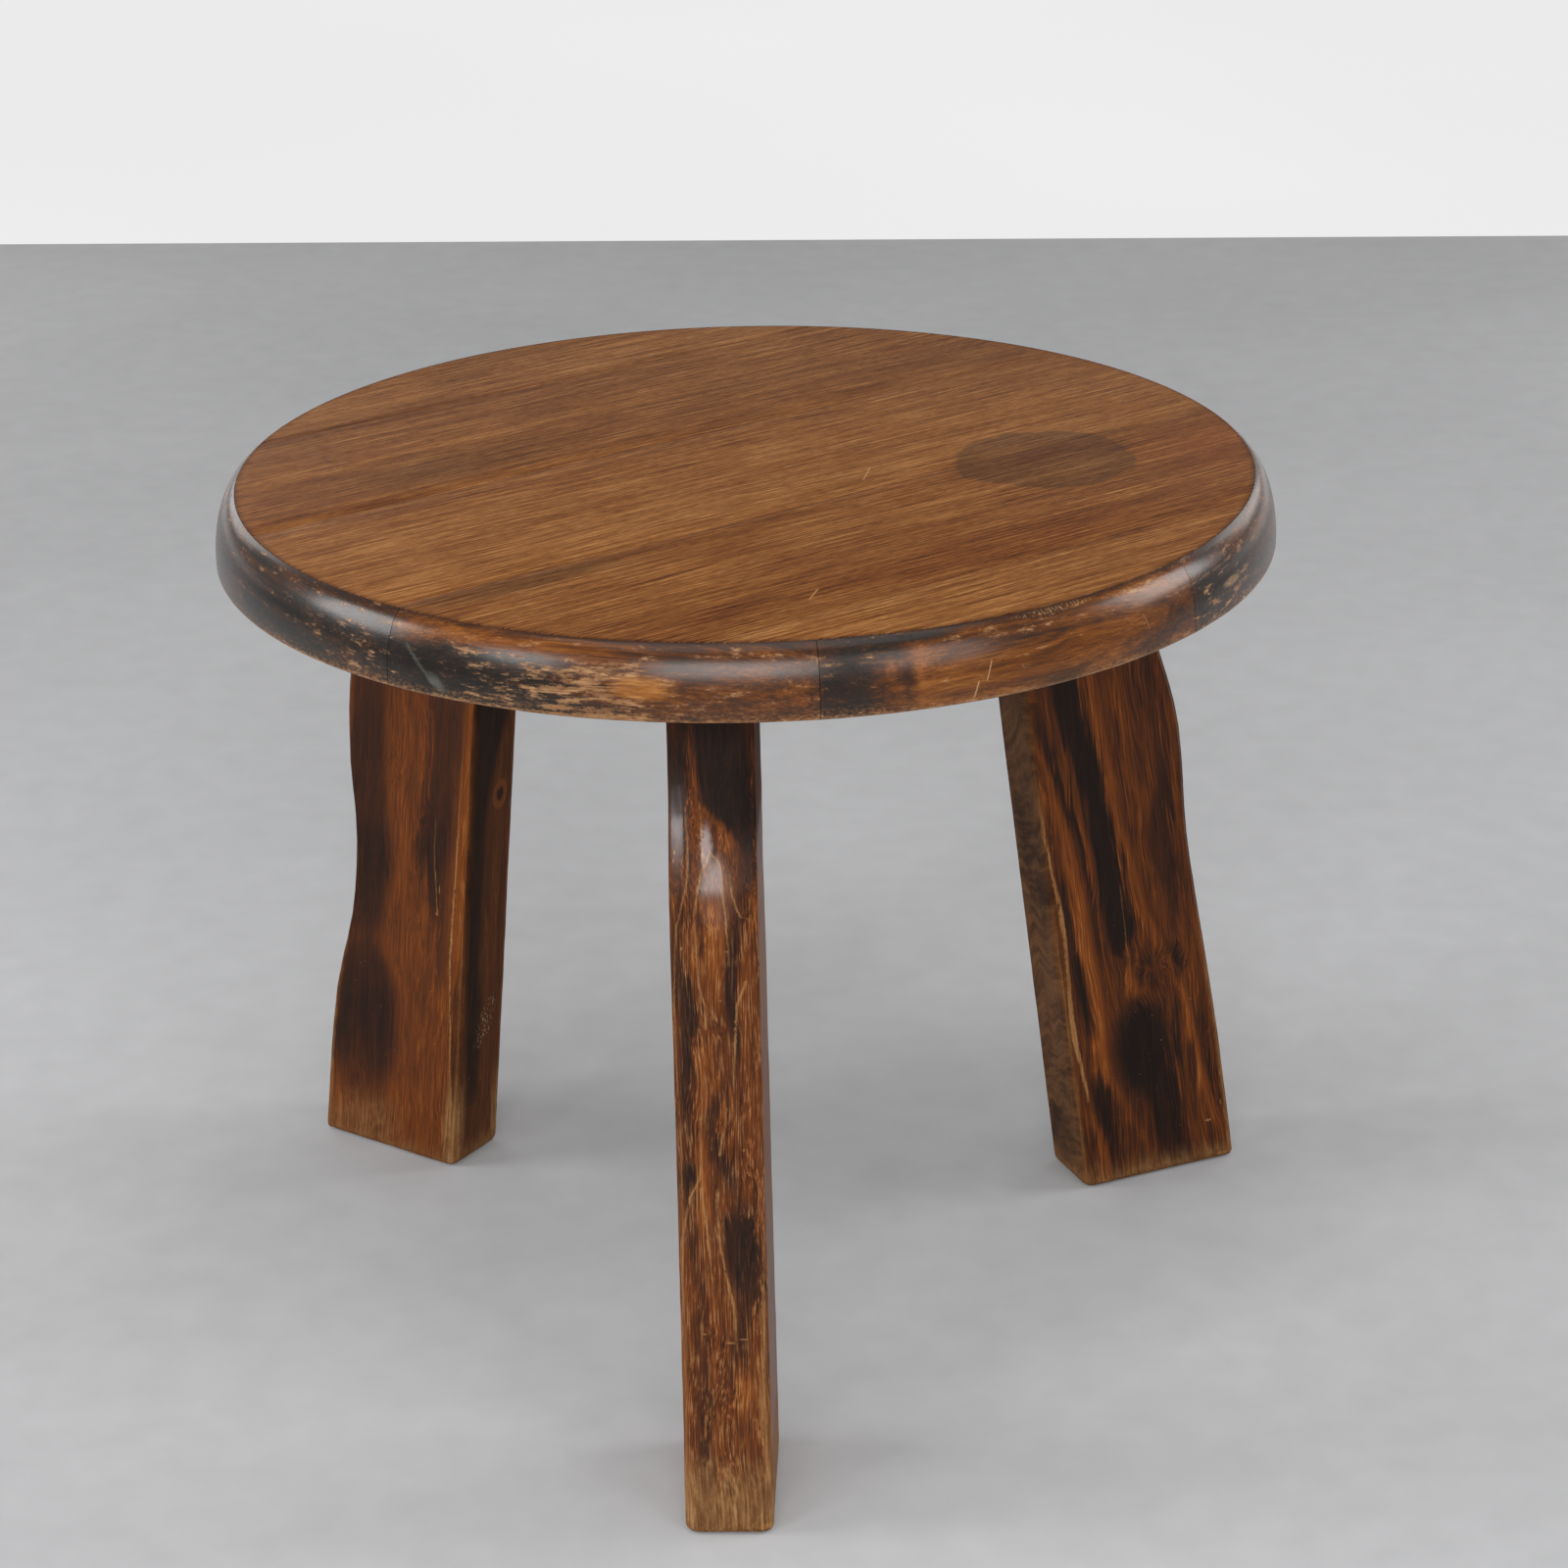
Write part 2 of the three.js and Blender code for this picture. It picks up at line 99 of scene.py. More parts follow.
# Each leg as the frame has it, in degrees and mm, and its waved edge as shares of the leg's length and the
# slab's width. The facets are hewn beside the outer face: a height, then how far they reach along it and into
# the leg, on each side. Stretch says where in one broad board a leg's figure is taken from.
LEGS = {
    "front": {
        "azimuth": -89, "reach": 319, "width": 97, "lean": 57, "sidestep": (-6.4, -9.9), "stretch": 0,
        "edge": [(0, 1), (0.2, 0.976), (0.4, 0.956), (0.55, 0.961), (0.65, 0.971),
                 (0.72, 0.982), (0.78, 0.949), (0.88, 0.81), (0.95, 0.785), (1, 0.798)],
        "facets": [(0, 5, 4, 5, 4), (120, 5, 4, 5, 4), (230, 6, 4, 6, 4), (270, 11, 4, 10, 5),
                   (300, 15, 4.5, 15, 6.5), (330, 14, 4.5, 16.5, 7), (355, 15, 4.5, 18, 7),
                   (378, 18, 4.7, 20, 7), (396, 16, 4.7, 15, 6), (425, 9, 4.5, 8, 5), (464, 7, 4.5, 5, 4)],
    },
    "left": {
        "azimuth": 149, "reach": 331, "width": 107.5, "lean": 52.5, "sidestep": (0, 0), "stretch": 400,
        "edge": [(0, 1), (0.224, 0.962), (0.353, 0.864), (0.474, 0.853),
                 (0.588, 0.924), (0.703, 0.94), (0.85, 0.867), (1, 0.86)],
        "facets": [(0, 4, 3, 4, 3), (200, 5, 4, 6, 4), (330, 7, 4, 6, 5), (464, 4, 3, 4, 3)],
    },
    "right": {
        "azimuth": 26.5, "reach": 319.5, "width": 107.5, "lean": 60.5, "sidestep": (-1, -1), "stretch": 900,
        "edge": [(0, 1), (0.2, 0.985), (0.382, 0.947), (0.5, 0.925), (0.614, 0.95),
                 (0.67, 0.949), (0.728, 0.913), (0.81, 0.841), (0.905, 0.817), (1, 0.841)],
        "facets": [(0, 4, 3, 4, 3), (230, 5, 4, 5, 4), (330, 8, 5, 6, 4), (464, 4, 3, 4, 3)],
    },
}
FOOT_THICKNESS, LEG_TOP_THICKNESS, LEG_ARRIS = 48.5, 46, 6  # mm
RING_COUNT = 26


# The studio

LENS_MM, SENSOR_MM = 88.56, 36
CAMERA_PLACE = (0.1341, -2.0736, 1.1735)
CAMERA_HEADING, CAMERA_DROP, CAMERA_ROLL = 3.17, 22.55, -1.12
FLOOR_MIDDLE, FLOOR_SIZE = (0, -2.0, 0), (16, 8.9)
BACKDROP_MIDDLE, BACKDROP_SIZE = (0, 6.45, 0), (16, 8)
SKY_COLOUR, SKY_BRIGHTNESS = (1.0, 0.98, 0.96, 1), 0.3

# Name, place, height that it points to, size and brightness, in metres
LAMPS = [
    ("overhead", (0.1, -0.5, 2.7), 0.4, (2.2, 1.8), 1.2),
    ("front", (0.0, -3.4, 1.7), 0.4, (2.0, 1.2), 6.9),
    ("front_left", (-2.2, -2.35, 1.5), 0.35, (0.9, 0.9), 8),
    ("front_right", (2.1, -2.5, 1.6), 0.35, (1.4, 1.4), 3),
    ("left", (-2.6, -0.3, 1.4), 0.45, (1.1, 1.1), 8),
    ("right", (2.6, 0.5, 1.4), 0.45, (1.2, 1.1), 6),
    ("back_left", (-2.0, 2.7, 1.5), 0.35, (1.4, 1.4), 1.8),
    ("back_right", (2.0, 2.7, 1.5), 0.35, (1.4, 1.4), 1.8),
]


def set_camera():
    """The camera from where the photograph was taken."""
    lens = bpy.data.cameras.new("camera")
    lens.lens = LENS_MM
    lens.sensor_width = SENSOR_MM
    camera = bpy.data.objects.new("camera", lens)
    bpy.context.scene.collection.objects.link(camera)
    turn = (
        Matrix.Rotation(math.radians(CAMERA_HEADING), 4, "Z")
        @ Matrix.Rotation(math.radians(90 - CAMERA_DROP), 4, "X")
        @ Matrix.Rotation(math.radians(CAMERA_ROLL), 4, "Z")
    )
    camera.matrix_world = Matrix.Translation(CAMERA_PLACE) @ turn
    bpy.context.scene.camera = camera


def add_lamp(name, place, aim_height, size, brightness):
    """A soft box of this brightness, which the camera sees only in the table's gloss."""
    light = bpy.data.lights.new(name, "AREA")
    light.shape = "RECTANGLE"
    light.size, light.size_y = size
    light.energy = brightness * math.pi * size[0] * size[1]
    lamp = bpy.data.objects.new(name, light)
    bpy.context.scene.collection.objects.link(lamp)
    lamp.location = place
    lamp.rotation_euler = (Vector((0, 0, aim_height)) - Vector(place)).to_track_quat("-Z", "Y").to_euler()
    lamp.visible_camera = False


def seen(r, g, b):
    """A colour as the eye reads it on a screen, 0 to 255, as the light that it stands for."""
    def linear(value):
        share = value / 255
        return share / 12.92 if share <= 0.04045 else ((share + 0.055) / 1.055) ** 2.4
    return (linear(r), linear(g), linear(b), 1)


# The finishes

class Number:
    """A number that a finish's nodes work out, written in sums like any other."""

    def __init__(self, finish, socket):
        self.finish = finish
        self.socket = socket

    def _math(self, operation, *values):
        return self.finish.node("ShaderNodeMath", {"operation": operation}, dict(enumerate(values)))

    def __add__(self, other):
        return self._math("ADD", self, other)

    __radd__ = __add__

    def __sub__(self, other):
        return self._math("SUBTRACT", self, other)

    def __rsub__(self, other):
        return self._math("SUBTRACT", other, self)

    def __mul__(self, other):
        return self._math("MULTIPLY", self, other)

    __rmul__ = __mul__

    def __truediv__(self, other):
        return self._math("DIVIDE", self, other)

    def __pow__(self, other):
        return self._math("POWER", self, other)

    def __abs__(self):
        return self._math("ABSOLUTE", self)

    def at_most(self, other):
        return self._math("MINIMUM", self, other)

    def at_least(self, other):
        return self._math("MAXIMUM", self, other)

    def floor(self):
        return self._math("FLOOR", self)

    def sine(self):
        return self._math("SINE", self)

    def cosine(self):
        return self._math("COSINE", self)

    def swing(self, amount):
        """Noise from 0 to 1 as a push of up to half the amount to either side."""
        return (self - 0.5) * amount


class Finish:
    """A procedural material on one principled shader, measured in millimetres on the piece."""

    def __init__(self, name):
        self.material = bpy.data.materials.new(name)
        self.material.use_nodes = True
        self.tree = self.material.node_tree
        self.tree.nodes.clear()

    def node(self, kind, settings=None, inputs=None, output=0):
        """Adds a node: its settings first, then the values or links of its sockets."""
        made = self.tree.nodes.new(kind)
        for name, value in (settings or {}).items():
            if name == "stops":
                self._set_stops(made.color_ramp, value)
            elif name == "interpolation":
                made.color_ramp.interpolation = value
            else:
                setattr(made, name, value)
        for key, value in (inputs or {}).items():
            if isinstance(value, Number):
                self.tree.links.new(value.socket, made.inputs[key])
            else:
                made.inputs[key].default_value = value
        return Number(self, made.outputs[output])

    @staticmethod
    def _set_stops(ramp, stops):
        while len(ramp.elements) < len(stops):
            ramp.elements.new(0.5)
        for element, (place, colour) in zip(ramp.elements, sorted(stops, key=lambda stop: stop[0])):
            element.position = place
            element.color = colour

    def place(self, origin=(0, 0, 0), azimuth=0.0):
        """Millimetres from an origin, along and across a direction in plan, and up."""
        spot = self.node("ShaderNodeTexCoord", output="Object")
        return self.node(
            "ShaderNodeMapping",
            {"vector_type": "TEXTURE"},
            {"Vector": spot, "Location": origin, "Rotation": (0, 0, azimuth), "Scale": (MM, MM, MM)},
        )

    def parts(self, vector):
        """The three numbers of a place."""
        split = self.node("ShaderNodeSeparateXYZ", inputs={"Vector": vector}).socket.node
        return [Number(self, split.outputs[k]) for k in range(3)]

    def point(self, x, y, z):
        return self.node("ShaderNodeCombineXYZ", inputs={"X": x, "Y": y, "Z": z})

    def noise(self, place, size, detail=2.0, roughness=0.5):
        """Noise from 0 to 1, with spots of this size in millimetres along each direction."""
        scaled = self.node("ShaderNodeVectorMath", {"operation": "DIVIDE"}, {0: place, 1: size})
        settings = {"Vector": scaled, "Scale": 1.0, "Detail": detail, "Roughness": roughness}
        return self.node("ShaderNodeTexNoise", inputs=settings)

    def ease(self, value, low, high):
        """Goes smoothly from 0 to 1 while the value goes from low to high."""
        limits = {"Value": value, "From Min": low, "From Max": high}
        return self.node("ShaderNodeMapRange", {"interpolation_type": "SMOOTHSTEP"}, limits)

    def ramp(self, value, stops, interpolation="LINEAR"):
        settings = {"interpolation": interpolation, "stops": stops}
        return self.node("ShaderNodeValToRGB", settings, {"Fac": value})

    def tones(self, value, stops):
        """A colour that follows the stops (value, red, green, blue), as seen on a screen."""
        return self.ramp(value, [(at, seen(*colour)) for at, *colour in stops])

    def level(self, value, points, interpolation="LINEAR"):
        """A number from 0 to 1 that follows the points (value, number)."""
        low, high = points[0][0], points[-1][0]
        stops = [((at - low) / (high - low), (n, n, n, 1)) for at, n in points]
        return self.ramp((value - low) / (high - low), stops, interpolation)

    def mix(self, factor, first, second, blend="MIX"):
        settings = {"data_type": "RGBA", "blend_type": blend}
        return self.node("ShaderNodeMix", settings, {0: factor, 6: first, 7: second}, 2)

    def tint(self, factor, colour, share):
        """A colour with each of its parts brought down to a share."""
        return self.mix(factor, colour, (*share, 1), "MULTIPLY")

    def spot(self, x, y, centre, radii, soft):
        """1 inside an ellipse, fading to 0 at its rim over its soft share."""
        from_middle = (((x - centre[0]) / radii[0]) ** 2 + ((y - centre[1]) / radii[1]) ** 2) ** 0.5
        return self.ease(from_middle, 1, 1 - soft)

    def spots(self, x, y, rows):
        """Several spots added up: their rows give centre, radii, softness and strength."""
        return sum(self.spot(x, y, *row) * strength for *row, strength in rows)

    def scratch(self, x, y, start, end, half_width):
        """1 on a straight line between two points, fading over its half width."""
        dx, dy = end[0] - start[0], end[1] - start[1]
        length = math.hypot(dx, dy)
        along = (x - start[0]) * (dx / length) + (y - start[1]) * (dy / length)
        off = abs((x - start[0]) * (dy / length) - (y - start[1]) * (dx / length))
        half = length / 2
        return self.ease(off, half_width, 0) * self.ease(abs(along - half), half, half * 0.8)

    def scratches(self, x, y, rows):
        """Several scratches added up: their rows give start, end, half width and strength."""
        return sum(self.scratch(x, y, *row) * strength for *row, strength in rows)

    def trail(self, across, height, rows, soft):
        """1 on a streak that runs up the wood: its rows give height, middle, half width and strength."""
        low, high, reach, widest = rows[0][0], rows[-1][0], 120, 40
        stops = [((at - low) / (high - low), (middle / reach / 2 + 0.5, half / widest, amount, 1))
                 for at, middle, half, amount in rows]
        path = self.node("ShaderNodeSeparateColor", inputs={
            "Color": self.ramp((height - low) / (high - low), stops, "CARDINAL")}).socket.node
        middle, half, amount = [Number(self, path.outputs[k]) for k in range(3)]
        off = abs(across - (middle * (2 * reach) - reach)) - half * widest
        inside = self.ease(abs(height - (low + high) / 2), (high - low) / 2 + 0.5, (high - low) / 2 - 0.5)
        return self.ease(off, soft, -soft) * amount * inside

    def any_of(self, masks):
        """The strongest of several masks at each place."""
        strongest = masks[0]
        for mask in masks[1:]:
            strongest = mask.at_least(strongest)
        return strongest

    def finish(self, colour, roughness, height, depth, specular=0.3, coat=0.0, coat_roughness=0.2, glow=None):
        """Joins the colour, the gloss and the surface's height in millimetres to the shader."""
        bump = self.node("ShaderNodeBump", inputs={"Height": height, "Distance": depth * MM, "Strength": 1.0})
        inputs = {"Base Color": colour, "Roughness": roughness, "Normal": bump, "Specular IOR Level": specular,
                  "Coat Weight": coat, "Coat Roughness": coat_roughness}
        if glow:
            inputs.update({"Emission Color": glow, "Emission Strength": 1.0})
        shader = self.node("ShaderNodeBsdfPrincipled", inputs=inputs)
        end = self.tree.nodes.new("ShaderNodeOutputMaterial")
        self.tree.links.new(shader.socket, end.inputs["Surface"])
        return self.material


def lay_round_stain(wood, place, grain, ragged, colour):
    """Lays on the round stain where something wet stood; also gives where it is and its dark streaks."""
    u, v, _ = wood.parts(place)
    lobes = wood.noise(place, (52, 34, 30), detail=3)
    from_stain = (((u - 139) / 54) ** 2 + ((v + 99) / 51) ** 2) ** 0.5 + ragged.swing(0.26) + lobes.swing(0.32)
    stain = wood.ease(from_stain, 1.03, 0.95)
    edge = stain * wood.ease(from_stain, 0.72, 1.0)
    mottle = wood.noise(place, (26, 8, 10), detail=4, roughness=0.6)
    colour = wood.tint(stain * (0.62 + mottle * 0.4 + edge * 0.25), colour, (0.61, 0.62, 0.66))
    red_streaks = (
        wood.ease(wood.noise(grain, (15, 3.2, 10), detail=3), 0.48, 0.60)
        * wood.spot(u, v + ragged.swing(10), (148, -86), (29, 15), 0.8)
    )
    colour = wood.mix(red_streaks * 0.7, colour, seen(92, 40, 18))
    dark_streaks = wood.ease(wood.noise(grain, (30, 3, 12), detail=2), 0.58, 0.70)
    return colour, stain, stain * dark_streaks


def make_face_veneer():
    """Straight-grained veneer, leaf by leaf a little other in tone, with a round stain and small marks."""
    wood = Finish("face_veneer")
    place = wood.place(AXIS, GRAIN_AZIMUTH)
    u, v, _ = wood.parts(place)
    wander = wood.noise(place, (260, 80, 60), detail=1)
    grain = wood.point(u, v + wander.swing(12), 0)
    bands = wood.noise(grain, (460, 9, 50), detail=5, roughness=0.62)
    fibres = wood.noise(grain, (210, 2.6, 50), detail=3, roughness=0.6)
    threads = wood.noise(grain, (56, 1.2, 50), detail=2, roughness=0.7)
    mottle = wood.noise(place, (90, 38, 50), detail=4, roughness=0.6)
    rays = wood.noise(place, (8, 1.2, 50), detail=3, roughness=0.65)
    pores = wood.ease(wood.noise(grain, (8, 0.6, 50), detail=1), 0.60, 0.70)
    band_wander = v + wood.noise(place, (150, 60, 40), detail=2).swing(14) + fibres.swing(6)
    stripes = wood.level(band_wander, [
        (-290, 0.52), (-245, 0.60), (-234, 0.58), (-222, 0.42), (-200, 0.36), (-182, 0.42), (-167, 0.50),
        (-153, 0.43), (-142, 0.52), (-118, 0.57), (-98, 0.50), (-84, 0.44), (-76, 0.60), (-50, 0.62),
        (-15, 0.58), (12, 0.62), (30, 0.56), (50, 0.50), (62, 0.44), (90, 0.47), (112, 0.45), (130, 0.47),
        (141, 0.54), (147, 0.62), (154, 0.54), (178, 0.50), (196, 0.46), (206, 0.37), (214, 0.50), (235, 0.60),
        (262, 0.56), (290, 0.52),
    ])
    leaf_tone = wood.level(v, [
        (-290, 0.54), (-224.7, 0.46), (-80.2, 0.54), (64.2, 0.48), (208.7, 0.52), (290, 0.52)], "CONSTANT")
    grey_back = wood.spot(u, v, (-130, 104), (120, 34), 0.8)
    grey_left = wood.spot(u, v, (-205, -92), (95, 15), 0.7)
    red_front = wood.spot(u, v, (30, -198), (150, 30), 0.7)
    red_right = wood.spot(u, v, (236, -138), (80, 62), 0.9)
    pale_back = wood.spot(u, v, (130, 215), (170, 52), 0.9)
    tone = (
        stripes.swing(0.9) + leaf_tone * 0.5 + 0.26
        + bands.swing(0.55) + fibres.swing(1.0) + threads.swing(2.2) + mottle.swing(0.45) + rays.swing(1.1)
        - grey_back * 0.08 - grey_left * 0.12 - red_front * 0.04 - red_right * 0.03 + pale_back * 0.17
    )
    colour = wood.tones(tone, [
        (0.0, 74, 37, 15), (0.2, 98, 55, 24), (0.38, 113, 67, 30), (0.5, 123, 75, 35), (0.64, 134, 85, 42),
        (0.8, 148, 98, 51), (1.0, 170, 120, 70),
    ])
    colour = wood.tint((grey_back * 0.5 + grey_left * 0.7) * mottle * 1.4, colour, (0.62, 0.78, 0.98))
    colour = wood.tint((red_front * 0.5).at_least(red_right), colour, (0.90, 0.76, 0.68))
    ragged = wood.noise(place, (11, 8, 10), detail=4, roughness=0.65)
    colour, stain, dark_streaks = lay_round_stain(wood, place, grain, ragged, colour)

    # Small dark marks, pores, pale scratches and the dark line by the rim, which is partly painted shade of
    # the joint with the rim and partly grime
    marks = dark_streaks * 0.45 + wood.spots(u, v, [
        ((-145, 210), (15, 4), 0.9, 0.7), ((-182, 156), (3, 7), 0.9, 0.6), ((-41, 31), (5, 3), 0.9, 0.55),
        ((145, -111), (13, 1.6), 0.8, 0.7),
    ])
    colour = wood.tint(marks.at_most(1), colour, (0.34, 0.26, 0.24))
    colour = wood.tint(pores * (0.75 - 0.3 * mottle), colour, (0.50, 0.42, 0.38))
    scratches = wood.scratches(u, v, [
        ((53, -48), (35, -65), 0.8, 1), ((-90, -194), (-104, -205), 0.8, 1),
        ((190, 190), (160, 172), 0.6, 0.5), ((176, 196), (150, 176), 0.6, 0.4),
        ((118, 178), (88, 160), 0.6, 0.4),
    ])
    colour = wood.mix(scratches.at_most(1) * 0.6, colour, seen(196, 148, 96))
    radius = (u * u + v * v) ** 0.5
    # Painted shade of the joint with the rim, with some grime: the veneer's outer edge is darkened
    edge_shade_and_grime = wood.ease(radius + ragged.swing(4), 283.5, 287.5)
    colour = wood.tint(edge_shade_and_grime * 0.7, colour, (0.42, 0.36, 0.34))
    wear = wood.noise(place, (70, 60, 50), detail=4, roughness=0.6)
    gloss = 0.50 + wear.swing(0.2) + pores * 0.12 - stain * 0.06 + scratches * 0.1
    height = threads * 0.6 + fibres * 0.3 - pores * 0.9 - scratches * 0.8
    return wood.finish(colour, gloss, height, 0.08, specular=0.11)


def rim_grain(wood):
    """Places on the rim, and the noises of its wood, whose grain runs along each segment."""
    x, y, z = wood.parts(wood.place(AXIS))
    azimuth = wood.node("ShaderNodeMath", {"operation": "ARCTAN2"}, {0: y, 1: x}) * (180 / math.pi)
    from_joint = (azimuth - FIRST_JOINT) / SEGMENT
    number = from_joint.floor()
    turn = ((from_joint - number) - 0.5) * math.radians(SEGMENT)
    radius = (x * x + y * y) ** 0.5
    along, outward = radius * turn.sine(), radius * turn.cosine()
    around = azimuth * ARC

    # Each segment is cut from another part of the board
    board_x, board_z = outward + number * 61, z + number * 173
    wander = wood.noise(wood.point(along, board_x, board_z), (120, 26, 26), detail=2)
    grain = wood.point(along, board_x + wander.swing(20), board_z + wander.swing(14))
    surface = wood.point(around, outward, z)
    return SimpleNamespace(
        azimuth=azimuth, around=around, radius=radius, z=z, surface=surface,
        to_joint=radius * (math.radians(SEGMENT) / 2 - abs(turn)),
        bands=wood.noise(grain, (140, 5.5, 5), detail=4, roughness=0.65),
        threads=wood.noise(grain, (30, 1.1, 1.0), detail=3, roughness=0.7),
        blotch=wood.noise(surface, (44, 30, 16), detail=4, roughness=0.6),
        flecks=wood.noise(surface, (13, 9, 3.0), detail=5, roughness=0.72),
        specks=wood.noise(surface, (2.6, 2.6, 1.3), detail=3, roughness=0.7),
    )


def stain_rim(wood, rim):
    """The stained colour, and how brown it is on the face and the upper round: 0 is near black, 1 orange."""
    face_warmth = wood.level(rim.azimuth, [
        (-180, 0.26), (-160, 0.20), (-146, 0.16), (-138, 0.14), (-132, 0.20), (-125, 0.18), (-124, 0.06),
        (-116, 0.08), (-110, 0.16), (-103, 0.32), (-98, 0.50), (-92, 0.44), (-84, 0.44), (-80.0, 0.42),
        (-79.4, 0.20), (-75, 0.20), (-73.4, 0.40), (-72, 0.50), (-70.8, 0.40), (-69.3, 0.62), (-64, 0.56),
        (-54, 0.54), (-46, 0.52), (-38, 0.44), (-34.8, 0.44), (-34.3, 0.16), (-27, 0.24), (-12, 0.30),
        (10, 0.32),
    ])
    far_warmth = wood.level(rim.azimuth, [
        (10, 0.32), (30, 0.5), (55, 0.40), (80, 0.3), (100, 0.44), (125, 0.32), (146, 0.45), (165, 0.36),
        (180, 0.26),
    ])
    face_warmth = face_warmth + (far_warmth - face_warmth) * wood.ease(rim.azimuth, 9, 11)
    round_warmth = wood.level(rim.azimuth, [
        (-180, 0.30), (-150, 0.26), (-136, 0.20), (-125, 0.30), (-123, 0.52), (-112, 0.62), (-104, 0.58),
        (-96, 0.42), (-86, 0.40), (-79.8, 0.38), (-78, 0.20), (-72, 0.22), (-70, 0.66), (-67, 0.42),
        (-58, 0.38), (-50, 0.55), (-38, 0.56), (-34.6, 0.50), (-33, 0.30), (-20, 0.42), (0, 0.40), (60, 0.45),
        (120, 0.38), (180, 0.30),
    ])
    upper = wood.ease(rim.z + rim.blotch.swing(12), 488, 496)
    warmth = face_warmth + (round_warmth - face_warmth) * upper
    grain = rim.bands.swing(0.85) + rim.threads.swing(0.75)
    return wood.tones(warmth + grain + rim.blotch.swing(0.42) + rim.flecks.swing(0.25), [
        (0.0, 24, 19, 16), (0.16, 37, 28, 22), (0.32, 60, 34, 18), (0.46, 84, 45, 16),
        (0.60, 110, 61, 19), (0.78, 136, 82, 30), (1.0, 162, 108, 54),
    ])


def bare_rim(wood, rim):
    """Where the stain is worn through to the pale wood."""
    worn_zone = wood.level(rim.azimuth, [
        (-180, 0.40), (-141, 0.42), (-132, 0.54), (-126, 0.52), (-122, 0.40), (-117, 0.46), (-113, 0.56),
        (-109, 0.60), (-105, 0.72), (-99, 0.76), (-96, 0.64), (-94, 0.58), (-88, 0.50), (-80, 0.46),
        (-76, 0.44), (-70, 0.42), (-58, 0.44), (-36, 0.42), (-30, 0.52), (-22, 0.54), (0, 0.44), (60, 0.42),
        (110, 0.48), (180, 0.40),
    ])
    face_only = wood.ease(rim.z + rim.flecks.swing(8), 496, 489)
    wearing = rim.flecks * 0.62 + rim.specks * 0.18 + rim.bands * 0.2 + worn_zone.swing(0.42) * face_only
    worn = wood.ease(wearing, 0.54, 0.64)
    line_height = 491.5 + wood.ease(rim.azimuth, -114, -125) * 5
    upper_line = (
        wood.ease(abs(rim.z - line_height + rim.blotch.swing(5)), 1.3, 0.2) * wood.ease(rim.flecks, 0.44, 0.56)
        * wood.spots(rim.azimuth, 0, [
            ((-116, 0), (12, 1), 0.4, 1), ((-72, 0), (15, 1), 0.5, 0.6), ((-28, 0), (14, 1), 0.5, 0.5)])
    )
    low = rim.z - UNDERSIDE / MM
    bottom_line = wood.ease(low + rim.flecks.swing(3), 2.6, 0.6) * wood.ease(rim.specks, 0.25, 0.5)
    low_wear = wood.ease(low + rim.flecks.swing(16), 8, 1) * wood.ease(rim.specks, 0.42, 0.6) * 0.5
    return (worn + upper_line * 0.9 + bottom_line * 0.75 + low_wear).at_most(1)


def rim_patches(wood, rim, rows):
    """Ragged spots, added up: azimuth, height, half sizes, softness, raggedness round and up, strength."""
    total = 0
    for at, height, half_arc, half_height, soft, ragged_arc, ragged_height, strength in rows:
        around = rim.around + rim.flecks.swing(ragged_arc) if ragged_arc else rim.around
        up = rim.z + rim.specks.swing(ragged_height) if ragged_height else rim.z
        total = total + wood.spot(around, up, (at * ARC, height), (half_arc, half_height), soft) * strength
    return total


